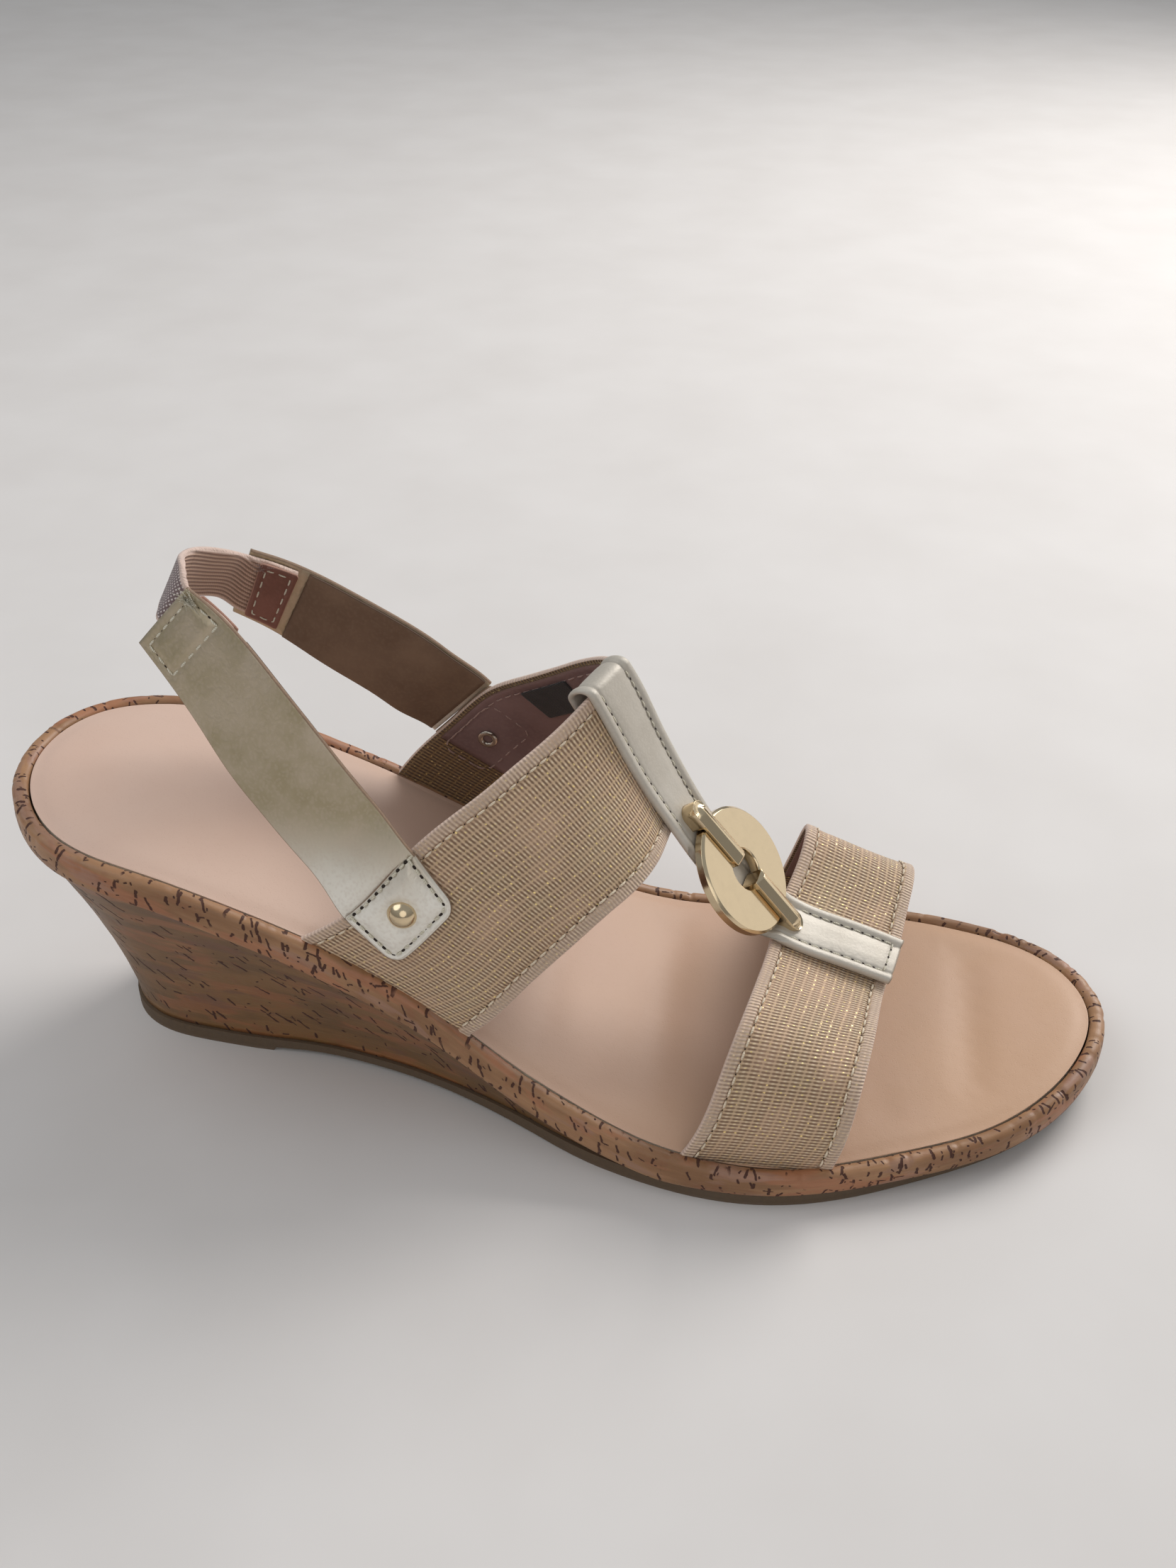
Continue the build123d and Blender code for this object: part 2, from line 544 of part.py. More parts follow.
tubes = []
for side, point in STUD_AT.items():
    u, v = instep.locate(point)
    stud_plane = instep.plane(u, v)
    keep("sling_tab_" + side, make_tab(u, stud_plane, TAB_CORNERS[side]))
    keep("stud_" + side, make_stud(stud_plane))
    tubes.append(make_tube(stud_plane))
    hole = cyl(stud_plane, *STUD_HOLE)
    instep_elastic, instep_lining = one(instep_elastic - hole), one(instep_lining - hole)
keep("stud_tubes", tubes)
keep("instep_band_elastic", instep_elastic)
keep("instep_band_lining", instep_lining)

# ================================================================= size label
LABEL_AT = (111.5, 21.5, 80.0)
LABEL_W, LABEL_H, LABEL_CORNER_R = 15.0, 9.0, 0.4
LABEL_BLOCK_DEPTH = 9.0


def make_label():
    """Plain label sewn to the instep lining."""
    u, v = instep.locate(LABEL_AT)
    patch = instep.solid(LINING_BACK - 0.45, LINING_BACK - 0.1,
                         np.linspace(u - 0.12, u + 0.12, 9), 0.06, 0.6)
    plane = instep.plane(u, v + 0.10)
    sketch = plane.offset(-LABEL_BLOCK_DEPTH) * RectangleRounded(LABEL_W, LABEL_H, LABEL_CORNER_R)
    return one(patch & extrude(sketch, amount=2 * LABEL_BLOCK_DEPTH, dir=plane.z_dir))


keep("size_label", make_label())

# ================================================================= T strip
FOLD_R = 2.15              # inner radius of the fold over the instep band
TAIL_T = 1.0               # the leather thins round the fold to this at the tail
FOLD_STEPS = 8


def make_fold():
    """Half turn at the strip's upper end, back underneath it."""
    start, ahead = t_strip.at(0.0, 0.5), t_strip.at(0.01, 0.5)
    along = (ahead - start) / np.linalg.norm(ahead - start)
    wires = []
    for k in range(FOLD_STEPS + 1):
        angle = math.pi * k / FOLD_STEPS
        thickness = STRAP_T - (STRAP_T - TAIL_T) * k / FOLD_STEPS
        corners = []
        for v, radius in ((0, FOLD_R), (1, FOLD_R), (1, FOLD_R + thickness),
                          (0, FOLD_R + thickness)):
            centre, above = t_strip.at(0.0, v, -STRAP_T - FOLD_R), t_strip.at(0.0, v, 1.0)
            up = (above - centre) / np.linalg.norm(above - centre)
            corners.append(centre + up * radius * math.cos(angle)
                           - along * radius * math.sin(angle))
        wires.append(closed_wire(corners))
    return Solid.make_loft(wires, ruled=True)


def make_strip():
    tail_top = -STRAP_T - 2 * FOLD_R
    strip = t_strip.solid(-STRAP_T, 0, np.linspace(0.0, 1.0, 27))
    tail = t_strip.solid(tail_top - TAIL_T, tail_top, np.linspace(0.0, 0.06, 4))
    strip = one(strip + make_fold() + tail)
    # its underside is shaped to the bands it crosses: ribbon, crossing, depth, reach, stations
    for ribbon, crossing, low, reach, count in (
            (instep, (134.0, 1.0, 80.0), LINING_BACK - 0.1, 0.2, 15),
            (toe, (182.0, -1.0, 33.0), -ELASTIC_T, 0.16, 13)):
        u = ribbon.locate(crossing)[0]
        stations = np.linspace(u - reach, u + reach, count)
        strip = one(strip - ribbon.solid(low, 0.1, stations, -0.006, 1.006))
    return strip


def make_strip_lining():
    upper = t_strip.locate((152.6, 0.0, 56.5))[0]
    lower = t_strip.locate((164.6, 0.0, 43.6))[0]
    top = -STRAP_T - LAYER_GAP
    return t_strip.solid(top - 0.6, top, np.linspace(upper, lower, 7), 0.08, 0.92)


strip = make_strip()
keep("t_strip_lining", make_strip_lining())

# ================================================================= ornament
# Its axis meets the strip at the origin; x runs along the strip towards the toe
face = Plane(origin=moved(157.22, -0.253, 50.19), x_dir=Vector(0.63861, -0.0136, -0.76941),
             z_dir=Vector(0.752289, -0.227842, 0.618182))
RING_BOTTOM = 1.35
RING_TOP = RING_BOTTOM + RING_T
RING_CHAMFER = 0.5
RING_GAP = 0.3             # radial room around the ring
RING_FACE_GAP = 0.12       # room above and below it
BAR_START = 2.9            # inner end of each bar, from the ornament's axis
BAR_HALF_W, RIDGE_HALF_W = 2.3, 0.5
BAR_SIDE, BAR_RIDGE = 0.9, 2.0                     # bar's sides and ridge above the ring
POST_R, POST_HOLE_R, WASHER_R = 0.8, 0.9, 2.0
# name: (direction along x, outer end, lift, post's distance from the axis).
# The lower bar stands higher, where the strip turns up on to the toe band
BARS = {"ornament_bar_upper": (-1, 20.5, 0.0, 17.0),
        "ornament_bar_lower": (1, 19.8, 0.5, 17.4)}


def make_ring():
    ring = one(cyl(face, RING_R, RING_BOTTOM, RING_TOP) - cyl(face, RING_HOLE_R, -9, 9))
    # guards the chamfer of the two top edges: if it fails, the ring stays sharp
    try:
        top_edges = [edge for edge in ring.edges()
                     if abs(face.to_local_coords(edge.center()).Z - RING_TOP) < 0.01]
        ring = one(chamfer(top_edges, RING_CHAMFER))
    except Exception:
        pass
    return ring


def face_plane(x, z=0):
    """The ornament's plane shifted along its x and z."""
    return Plane(origin=face.from_local_coords((x, 0, z)), x_dir=face.x_dir, z_dir=face.z_dir)


def make_bar(sign, end, lift, post_plane):
    """Ridged bar with a rounded outer end, and its post through the strip."""
    side, ridge = RING_TOP + BAR_SIDE + lift, RING_TOP + BAR_RIDGE + lift
    profile = [(-BAR_HALF_W, -1.0), (BAR_HALF_W, -1.0), (BAR_HALF_W, side),
               (RIDGE_HALF_W, ridge), (-RIDGE_HALF_W, ridge), (-BAR_HALF_W, side)]
    corners = [face.from_local_coords((sign * BAR_START, y, z)) for y, z in profile]
    bar = extrude(Face(Wire.make_polygon(corners, close=True)), amount=end - BAR_START,
                  dir=face.x_dir * sign)
    round_x = end - BAR_HALF_W
    straight = extrude(face_plane(sign * (BAR_START + round_x) / 2, -3)
                       * Rectangle(round_x - BAR_START, 2 * BAR_HALF_W),
                       amount=12, dir=face.z_dir)
    bar = bar & (cyl(face_plane(sign * round_x), BAR_HALF_W, -3, 9) + straight)
    ring_room = cyl(face, RING_R + RING_GAP, -3, RING_TOP + RING_FACE_GAP) \
        - cyl(face, RING_HOLE_R - RING_GAP, -4, 9)
    bar = bar - ring_room - strip_room
    # nothing of the bar but its post goes below 0.2 above the ornament's plane
    bar = one(bar - face * Pos(0, 0, -3.9) * Box(60, 30, 8.2))
    return one(bar + cyl(post_plane, POST_R, -2.15, 1.6))


keep("ornament_ring", make_ring())
# the leather is pressed down where the ring crosses it
strip = one(strip - cyl(face, RING_R + RING_GAP, RING_BOTTOM - RING_FACE_GAP, RING_TOP + 1.0))
u = t_strip.locate((157.4, -0.2, 50.5))[0]
strip_room = t_strip.solid(-STRAP_T - 0.2, 0.15, np.linspace(u - 0.32, u + 0.32, 15), -0.05, 1.05)
washers = []
for name, (sign, end, lift, post_x) in BARS.items():
    foot = np.array(tuple(face.from_local_coords((sign * post_x, 0, 0))))
    u = t_strip.locate(foot + np.array([HEEL_PAD_X, 0, 0]))[0]
    post_plane = t_strip.plane(u, 0.5)
    keep(name, make_bar(sign, end, lift, post_plane))
    strip = one(strip - cyl(post_plane, POST_HOLE_R, -4, 4))
    washers.append(one(cyl(post_plane, WASHER_R, -2.1, -1.6)
                       - cyl(post_plane, POST_HOLE_R, -5, 5)))
keep("ornament_backing_washers", washers)
keep("t_strip", strip)

# ================================================================= sling
PIVOT_X, PIVOT_Z = 80.6, 73.7                      # the line along y the sling swings about
PIVOT_Y = {"lateral": -32.5, "medial": 29.8}       # where it meets each strap
SLING_END_R = 9.6                                  # rounded lower end of each strap
LINING_STEP = 0.1                                  # between the strap and what is behind it
# extent of the heel elastic across each strap, as v
ELASTIC_LOW_V = {"lateral": 0.34, "medial": 0.12}
ELASTIC_HIGH_V = 0.96

slings = {"lateral": Ribbon(SLING_LAT_REAR, SLING_LAT_FRONT, inside=(62, 0, 85)),
          "medial": Ribbon(SLING_MED_REAR, SLING_MED_FRONT, inside=(62, 0, 85))}


def end_cutter(side, ribbon):
    """Everything below the pivot line, outside the strap end's own circle."""
    u = ribbon.locate((PIVOT_X, PIVOT_Y[side], PIVOT_Z))[0]
    run = ribbon.at(u + 0.05, 0.5) - ribbon.at(u, 0.5)
    length = math.hypot(run[0], run[2])
    dx, dz = run[0] / length, run[2] / length
    below = Plane(origin=moved(PIVOT_X, 0, PIVOT_Z), x_dir=(dz, 0, -dx), z_dir=(-dx, 0, -dz)) \
        * Pos(0, 0, 20) * Box(80, 120, 40)
    axis = Plane(origin=moved(PIVOT_X, -65, PIVOT_Z), z_dir=(0, 1, 0))
    return below - Solid.make_cylinder(SLING_END_R, 130, axis)


patches = []
for side, ribbon in slings.items():
    cutter = end_cutter(side, ribbon)
    lining_top = -SLING_T - LINING_STEP
    lining = ribbon.solid(lining_top - SLING_LINING_T, lining_top, np.linspace(0.0, 0.80, 11),
                          0.03, 0.97)
    keep("sling_strap_" + side,
         one(ribbon.solid(-SLING_T, 0, np.linspace(0.0, 1.0, 13)) - cutter))
    keep("sling_lining_" + side, one(lining - cutter))
    patch_top = -SLING_T - 0.2 - HEEL_ELASTIC_T - 0.2
    patches.append(ribbon.solid(patch_top - 0.7, patch_top, np.linspace(0.835, 0.965, 5),
                                ELASTIC_LOW_V[side], ELASTIC_HIGH_V))
keep("elastic_end_patches", patches)


# ================================================================= heel elastic
def loop_edge(free_run, outer_v, inner_v):
    """Edge of the heel elastic: behind the outer strap, round the heel, behind the inner."""
    depth = -SLING_T - LINING_STEP
    return [slings["lateral"].at(u, outer_v, depth) for u in (0.85, 0.93, 1.0)] + free_run \
        + [slings["medial"].at(u, inner_v, depth) for u in (1.0, 0.92, 0.84)]


def make_heel_elastic():
    low = loop_edge(LOOP_LOW, ELASTIC_LOW_V["lateral"], ELASTIC_LOW_V["medial"])
    high = loop_edge(LOOP_HIGH, ELASTIC_HIGH_V, ELASTIC_HIGH_V)
    loop = Ribbon(low, high, inside=(60, -3, 110))
    heel = loop.solid(-HEEL_ELASTIC_T, 0, np.linspace(0.0, 1.0, 31))
    # cleared where it would run into the straps
    for ribbon in slings.values():
        heel = one(heel - ribbon.solid(-SLING_T - 0.06, 1.2, np.linspace(0.72, 1.0, 5),
                                       -0.03, 1.03))
    return heel


keep("heel_elastic", make_heel_elastic())
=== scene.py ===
import bpy
import bmesh
import math
import numpy as np
from mathutils import Matrix, Vector
from mathutils.geometry import delaunay_2d_cdt


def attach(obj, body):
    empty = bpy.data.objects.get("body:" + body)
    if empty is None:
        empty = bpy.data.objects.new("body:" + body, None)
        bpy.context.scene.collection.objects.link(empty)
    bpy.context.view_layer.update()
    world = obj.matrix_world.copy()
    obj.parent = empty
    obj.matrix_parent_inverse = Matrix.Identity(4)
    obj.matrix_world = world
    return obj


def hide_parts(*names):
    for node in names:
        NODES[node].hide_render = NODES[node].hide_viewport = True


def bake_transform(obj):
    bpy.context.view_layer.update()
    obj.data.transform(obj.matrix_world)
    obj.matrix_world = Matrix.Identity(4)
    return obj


# A right-foot T-bar slingback wedge sandal, built around its CAD frame.
# It stands on z = 0 with the toe towards +x, the medial side at +y and the lateral at -y.
# Sizes are in millimetres with x = 0 at the back of the footbed; put() moves points into
# the frame's own place, in metres.
# On every band "along" and "across" are fractions 0..1 (across 0 is the rear or lower edge),
# "run" and "cross" are the same in mm, and "out" is the height off the band in mm.

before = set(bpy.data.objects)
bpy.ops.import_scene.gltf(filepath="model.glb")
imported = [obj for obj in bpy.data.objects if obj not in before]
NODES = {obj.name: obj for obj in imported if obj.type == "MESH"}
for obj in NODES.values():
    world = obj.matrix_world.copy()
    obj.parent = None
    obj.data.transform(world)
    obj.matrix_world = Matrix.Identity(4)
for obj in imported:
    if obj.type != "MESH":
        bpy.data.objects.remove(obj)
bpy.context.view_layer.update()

HEEL_PAD_X = 34.0           # the frame's origin, from the back of the footbed
ELASTIC_T = 1.2             # thicknesses of the layers
LINING_T = 0.7
LAYER_GAP = 0.15
STRAP_T = 1.5
SLING_T = 1.1
SLING_GAP = 0.1
SLING_LINING_T = 0.6
HEEL_ELASTIC_T = 1.3
OUTSOLE_T = 3.6
WRAP_T = 1.0
LINING_FACE = -ELASTIC_T - LAYER_GAP - LINING_T     # inner face of the band linings
SLING_PIVOT = (80.6, 73.7)  # x, z
BAND_DROP = 0.0042          # metres the band ends run down into the crease

# Closed outlines seen from above: x, y.
SOCK = [
    [1.1, 6.3], [6.8, 17.2], [24.7, 26.2], [55.5, 28.5], [90.4, 30.1], [125.5, 33.0],
    [160.6, 39.1], [190.6, 41.1], [215.8, 37.3], [233.9, 25.5], [241.3, 8.2],
    [237.0, -8.0], [222.0, -25.4], [199.0, -37.2], [171.1, -46.1], [139.2, -44.2],
    [109.1, -37.6], [74.0, -34.8], [43.5, -35.0], [17.7, -30.9], [2.6, -13.8]]
OUTSOLE = [
    [13.4, -1], [15.6, 7], [21.7, 12.8], [30.9, 16.2], [39.7, 17.4], [48, 17.9],
    [64, 19.4], [76, 21.2], [88, 23.6], [102, 26.6], [116, 29.8], [127, 33.0],
    [143, 38.2], [155, 41.3], [170, 43.6], [188, 45.0], [203, 43.8], [219, 39.2],
    [233, 29.6], [242, 15.5], [243.9, 3], [239, -10.5], [228, -23.2], [216, -31.4],
    [201, -38.8], [186, -45.4], [170.6, -49.3], [155, -49.3], [143, -47.0],
    [127, -41.6], [116, -36.3], [102, -30.2], [88.3, -25.6], [76, -22.8],
    [64, -21.2], [48.1, -20.8], [39.7, -20.2], [30.9, -19.2], [21.7, -15.9],
    [15.6, -9.4]]
# Heights along the shoe: x, z of the footbed's edge and of the cork rim's foot.
EDGE_Z = [
    [-12, 68.2], [0, 67.3], [30, 63.6], [60, 53.5], [90, 39.2], [120, 19.9],
    [150, 10.4], [180, 8.4], [210, 9.1], [241, 13.5], [252, 15.6]]
RIM_Z = [
    [-12, 61.6], [0, 60.8], [30, 57.0], [60, 46.4], [90, 31.6], [120, 12.6],
    [136, 6.4], [151, 3.3], [180, 3.2], [198, 3.35], [215, 4.2], [230, 5.7],
    [244, 7.8], [252, 9.2]]
# Edge curves of the bands: x, y, z. The vamp bands run from lateral to medial.
INSTEP_REAR = [
    [68.6, -36.2, 49.6], [79.5, -34.9, 56.9], [93.7, -31.5, 73.3],
    [99.5, -28.0, 78.0], [106.2, -23.0, 82.2], [111.7, -18.0, 85.8],
    [117.8, -12.2, 89.6], [122.2, -7.2, 92.6], [126.4, -1.0, 95.2],
    [129.4, 6.0, 96.2], [127.6, 12.4, 95.2], [121.5, 17.6, 91.6],
    [112.9, 22.0, 85.6], [104.3, 26.0, 79.8], [97.2, 29.0, 74.7],
    [86.5, 31.0, 63.0], [78.2, 31.3, 53.8], [73.2, 30.7, 47.2]]
INSTEP_FRONT = [
    [105.2, -38.5, 29.6], [109.8, -38.2, 34.2], [117.7, -36.3, 43.6],
    [124.0, -34.0, 50.3], [129.0, -31.0, 54.8], [133.9, -27.0, 58.4],
    [138.2, -22.5, 60.8], [141.3, -17.0, 62.8], [142.6, -11.0, 63.4],
    [143.2, -5.0, 63.0], [144.2, 1.0, 63.2], [144.4, 7.0, 63.2],
    [143.0, 13.0, 62.2], [139.6, 19.0, 60.6], [134.0, 25.0, 56.4],
    [127.0, 29.6, 50.6], [118.0, 32.3, 41.0], [108.6, 32.8, 28.2]]
TOE_REAR = [
    [150.6, -47.5, 7.6], [153.4, -47.2, 13.2], [156.1, -45.6, 20.0],
    [158.6, -42.4, 28.8], [161.4, -36.0, 36.8], [164.0, -24.0, 38.4],
    [166.4, -9.0, 37.4], [169.0, 9.0, 38.6], [172.0, 20.0, 42.2],
    [172.9, 27.6, 44.2], [172.4, 33.0, 40.6], [170.2, 37.6, 30.0],
    [167.4, 40.6, 18.0], [165.4, 41.4, 7.8]]
TOE_FRONT = [
    [183.6, -44.8, 6.9], [185.2, -44.5, 12.4], [186.8, -43.2, 19.6],
    [188.2, -39.4, 26.6], [190.2, -29.0, 30.2], [191.6, -18.0, 29.2],
    [193.0, -8.0, 27.8], [196.0, 5.0, 29.2], [198.2, 18.0, 32.6],
    [199.4, 27.0, 34.0], [199.0, 33.0, 31.6], [197.4, 38.6, 24.0],
    [195.0, 42.0, 14.8], [193.0, 42.6, 7.2]]
# The T strip runs from the instep to the toe.
T_LATERAL = [
    [125.2, -4.6, 96.9], [129.0, -5.0, 90.2], [134.0, -5.5, 80.8], [139.4, -6.0, 71.9],
    [144.4, -6.5, 65.0], [147.6, -7.0, 60.6], [154.0, -7.1, 51.8], [161.2, -7.2, 43.6],
    [169.4, -7.4, 38.1], [180.8, -7.8, 34.2], [193.8, -8.0, 30.0]]
T_MEDIAL = [
    [131.0, 9.0, 98.2], [134.2, 9.0, 92.6], [138.2, 8.5, 84.4], [142.6, 8.0, 75.6],
    [147.2, 7.3, 67.4], [150.4, 7.0, 62.2], [156.0, 6.7, 54.2], [163.2, 6.4, 46.4],
    [171.3, 6.3, 39.8], [183.4, 5.4, 36.0], [196.8, 5.0, 31.6]]
# The sling straps run from the instep band up to the heel elastic; they meet the band's
# rear edge at their second points.
SLING_LAT_REAR = [
    [83.4, -35.0, 51.0], [79.2, -34.7, 55.95], [75.6, -34.2, 61.6], [69.2, -33.0, 69.6],
    [62.0, -31.5, 78.6], [56.2, -30.0, 86.2], [51.0, -28.0, 94.2],
    [44.7, -25.8, 103.6], [38.9, -24.0, 111.3]]
SLING_LAT_FRONT = [
    [98.6, -32.1, 67.0], [93.7, -31.6, 73.0], [86.2, -31.0, 82.7], [79.2, -30.0, 91.9],
    [74.0, -29.0, 99.0], [67.3, -27.5, 107.6], [61.2, -25.5, 114.6],
    [55.1, -23.5, 120.0], [49.8, -22.0, 123.5]]
SLING_MED_REAR = [
    [86.4, 32.2, 54.6], [81.9, 31.6, 59.6], [75.2, 30.4, 65.4], [68.7, 29.0, 71.3],
    [59.6, 26.4, 79.0], [48.9, 22.6, 89.4], [41.2, 19.6, 95.4]]
SLING_MED_FRONT = [
    [101.4, 30.6, 69.4], [97.1, 30.2, 74.5], [91.6, 29.4, 80.4], [85.6, 28.4, 86.2],
    [70.0, 25.2, 98.0], [55.5, 20.5, 108.2], [48.2, 17.2, 112.3]]
# The free part of the heel elastic, from lateral to medial.
LOOP_LOW = [
    [40.4, -17.0, 114.6], [37.4, -8.0, 112.0], [36.4, 0.0, 109.0], [37.4, 8.0, 105.2],
    [40.0, 14.4, 101.6]]
LOOP_HIGH = [
    [46.4, -15.6, 124.9], [43.4, -8.6, 123.7], [42.9, -1.6, 121.5], [44.2, 5.4, 118.3],
    [46.2, 11.2, 114.8]]


# ---------------------------------------------------------------- curves and fields
def unit(vectors):
    return vectors / np.linalg.norm(vectors, axis=-1, keepdims=True)


def run_length(points):
    """Length along a chain of points, at each point."""
    return np.r_[0, np.cumsum(np.linalg.norm(np.diff(points, axis=0), axis=1))]


def close(points):
    return np.vstack([points, points[:1]])


def spline(points, closed=False):
    """Cubic spline through points: a function of length, and the total length."""
    knots = np.asarray(points, float)
    if closed:
        knots = close(knots)
    stops = run_length(knots)
    count, gaps = len(stops), np.diff(stops)
    slopes = np.diff(knots, axis=0) / gaps[:, None]
    system, right = np.zeros((count, count)), np.zeros((count, knots.shape[1]))
    for i in range(1, count - 1):
        system[i, i - 1:i + 2] = gaps[i - 1], 2 * (gaps[i - 1] + gaps[i]), gaps[i]
        right[i] = 6 * (slopes[i] - slopes[i - 1])
    if closed:
        system[0, 0], system[0, -1] = 1, -1
        system[-1, 0], system[-1, 1] = 2 * gaps[0], gaps[0]
        system[-1, -2], system[-1, -1] = gaps[-1], 2 * gaps[-1]
        right[-1] = 6 * (slopes[0] - slopes[-1])
    else:
        system[0, 0] = system[-1, -1] = 1
    bend = np.linalg.solve(system, right)

    def at(length):
        length = np.atleast_1d(np.asarray(length, float))
        i = np.clip(np.searchsorted(stops, length, side="right") - 1, 0, count - 2)
        after, before = (stops[i + 1] - length)[:, None], (length - stops[i])[:, None]
        gap = gaps[i][:, None]
        return ((bend[i] * after ** 3 + bend[i + 1] * before ** 3) / (6 * gap)
                + (knots[i] / gap - bend[i] * gap / 6) * after
                + (knots[i + 1] / gap - bend[i + 1] * gap / 6) * before)
    return at, stops[-1]


def sample(points, count):
    at, total = spline(points)
    return at(np.linspace(0, total, count))


def height_curve(table):
    """Monotone cubic through x, z stations."""
    xs, zs = np.asarray(table, float).T
    slopes = np.diff(zs) / np.diff(xs)
    grads = np.zeros(len(xs))
    grads[0], grads[-1] = slopes[0], slopes[-1]
    for i in range(1, len(xs) - 1):
        before, after = xs[i] - xs[i - 1], xs[i + 1] - xs[i]
        if slopes[i - 1] * slopes[i] > 0:
            weight_a, weight_b = 2 * after + before, after + 2 * before
            grads[i] = ((weight_a + weight_b)
                        / (weight_a / slopes[i - 1] + weight_b / slopes[i]))

    def at(x):
        x = np.clip(np.asarray(x, float), xs[0], xs[-1])
        i = np.clip(np.searchsorted(xs, x, side="right") - 1, 0, len(xs) - 2)
        gap = xs[i + 1] - xs[i]
        part = (x - xs[i]) / gap
        return ((2 * part ** 3 - 3 * part ** 2 + 1) * zs[i]
                + (part ** 3 - 2 * part ** 2 + part) * gap * grads[i]
                + (-2 * part ** 3 + 3 * part ** 2) * zs[i + 1]
                + (part ** 3 - part ** 2) * gap * grads[i + 1])
    return at


edge_z, rim_z = height_curve(EDGE_Z), height_curve(RIM_Z)


def outline(points, grow, count):
    """A closed outline as count points, moved outwards by grow."""
    at, total = spline(points, closed=True)
    stops = np.linspace(0, total, count, endpoint=False)
    curve = at(stops)
    tangent = at((stops + 0.2) % total) - at((stops - 0.2) % total)
    normal = unit(np.c_[tangent[:, 1], -tangent[:, 0]])
    x, y = curve.T
    area = 0.5 * np.sum(x * np.roll(y, -1) - np.roll(x, -1) * y)
    return curve + normal * grow * (1 if area > 0 else -1)


def ease(part):
    return part * part * (3 - 2 * part)


def smooth(start, end, x):
    return ease(np.clip((np.asarray(x, float) - start) / (end - start), 0, 1))


def bell(x, centre, width, power=2):
    return np.exp(-((x - centre) / width) ** power)


def scatter(phase):
    """Pseudo-random values in -1..1."""
    value = np.sin(phase) * 43758.5453
    return (value - np.floor(value)) * 2 - 1


def noise1(x, seed):
    """Smooth seeded noise in -1..1."""
    cell = np.floor(x)
    part = ease(x - cell)

    def corner(i):
        return scatter(i * 127.1 + seed * 311.7 + 13.3)
    return corner(cell) * (1 - part) + corner(cell + 1) * part


def noise2(x, y, seed):
    """Smooth seeded noise over a plane, in -1..1."""
    col, row = np.floor(x), np.floor(y)
    right, up = ease(x - col), ease(y - row)

    def corner(i, j):
        return scatter(i * 127.1 + j * 269.5 + seed * 74.7 + 3.1)
    return (corner(col, row) * (1 - right) * (1 - up) + corner(col + 1, row) * right * (1 - up)
            + corner(col, row + 1) * (1 - right) * up + corner(col + 1, row + 1) * right * up)


class Ribbon:
    """A band between two edge curves; its outward side faces away from the point inside."""

    def __init__(self, edge_a, edge_b, inside, count=900):
        self.edge_a, self.edge_b, self.count = sample(edge_a, count), sample(edge_b, count), count
        self.mid = (self.edge_a + self.edge_b) / 2
        normal = unit(np.cross(np.gradient(self.mid, axis=0), self.edge_b - self.edge_a))
        away = np.sum(normal * (self.mid - np.asarray(inside, float)), axis=1).mean()
        self.normal = normal * np.sign(away)
        self.runs = run_length(self.mid)
        self.length = self.runs[-1]
        self.width = np.linalg.norm(self.edge_b - self.edge_a, axis=1)

    def rows(self, along):
        """Both edge points and the normal at each place along."""
        place = np.clip(np.asarray(along, float), 0, 1) * (self.count - 1)
        i = np.minimum(np.floor(place).astype(int), self.count - 2)
        part = (place - i)[..., None]
        low, high, normal = [curve[i] * (1 - part) + curve[i + 1] * part
                             for curve in (self.edge_a, self.edge_b, self.normal)]
        return low, high, unit(normal)

    def at(self, along, across, out=0.0):
        along, across, out = np.broadcast_arrays(
            *[np.asarray(value, float) for value in (along, across, out)])
        low, high, normal = self.rows(along)
        return (low * (1 - across[..., None]) + high * across[..., None]
                + normal * out[..., None])

    def table(self, along, values):
        return np.interp(np.asarray(along, float) * (self.count - 1),
                         np.arange(self.count), values)

    def wide(self, along):
        return self.table(along, self.width)

    def run(self, along):
        return self.table(along, self.runs)

    def along_at(self, run):
        return np.interp(run, self.runs, np.linspace(0, 1, self.count))


def locate(rib, point):
    """Along and across of the place on a ribbon nearest a point."""
    along, across = np.meshgrid(np.linspace(0, 1, 401), np.linspace(0, 1, 81), indexing="ij")
    gaps = np.linalg.norm(rib.at(along, across) - np.asarray(point, float), axis=-1)
    i = np.unravel_index(np.argmin(gaps), gaps.shape)
    return float(along[i]), float(across[i])


class Spot:
    """A place on a ribbon, with the fractions along and across that make one mm there."""

    def __init__(self, rib, point):
        self.along, self.across = locate(rib, point)
        ahead = rib.at(self.along + 0.005, self.across)
        behind = rib.at(self.along - 0.005, self.across)
        self.along_mm = 1.0 / (np.linalg.norm(ahead - behind) / 0.01)
        self.across_mm = 1.0 / rib.wide(self.along)


# ---------------------------------------------------------------- mesh helpers
def put(points):
    moved = np.array(points, float)
    moved[..., 0] -= HEEL_PAD_X
    return moved / 1000.0


def fix_normals(ob):
    bm = bmesh.new()
    bm.from_mesh(ob.data)
    bmesh.ops.recalc_face_normals(bm, faces=bm.faces)
    bm.to_mesh(ob.data)
    bm.free()


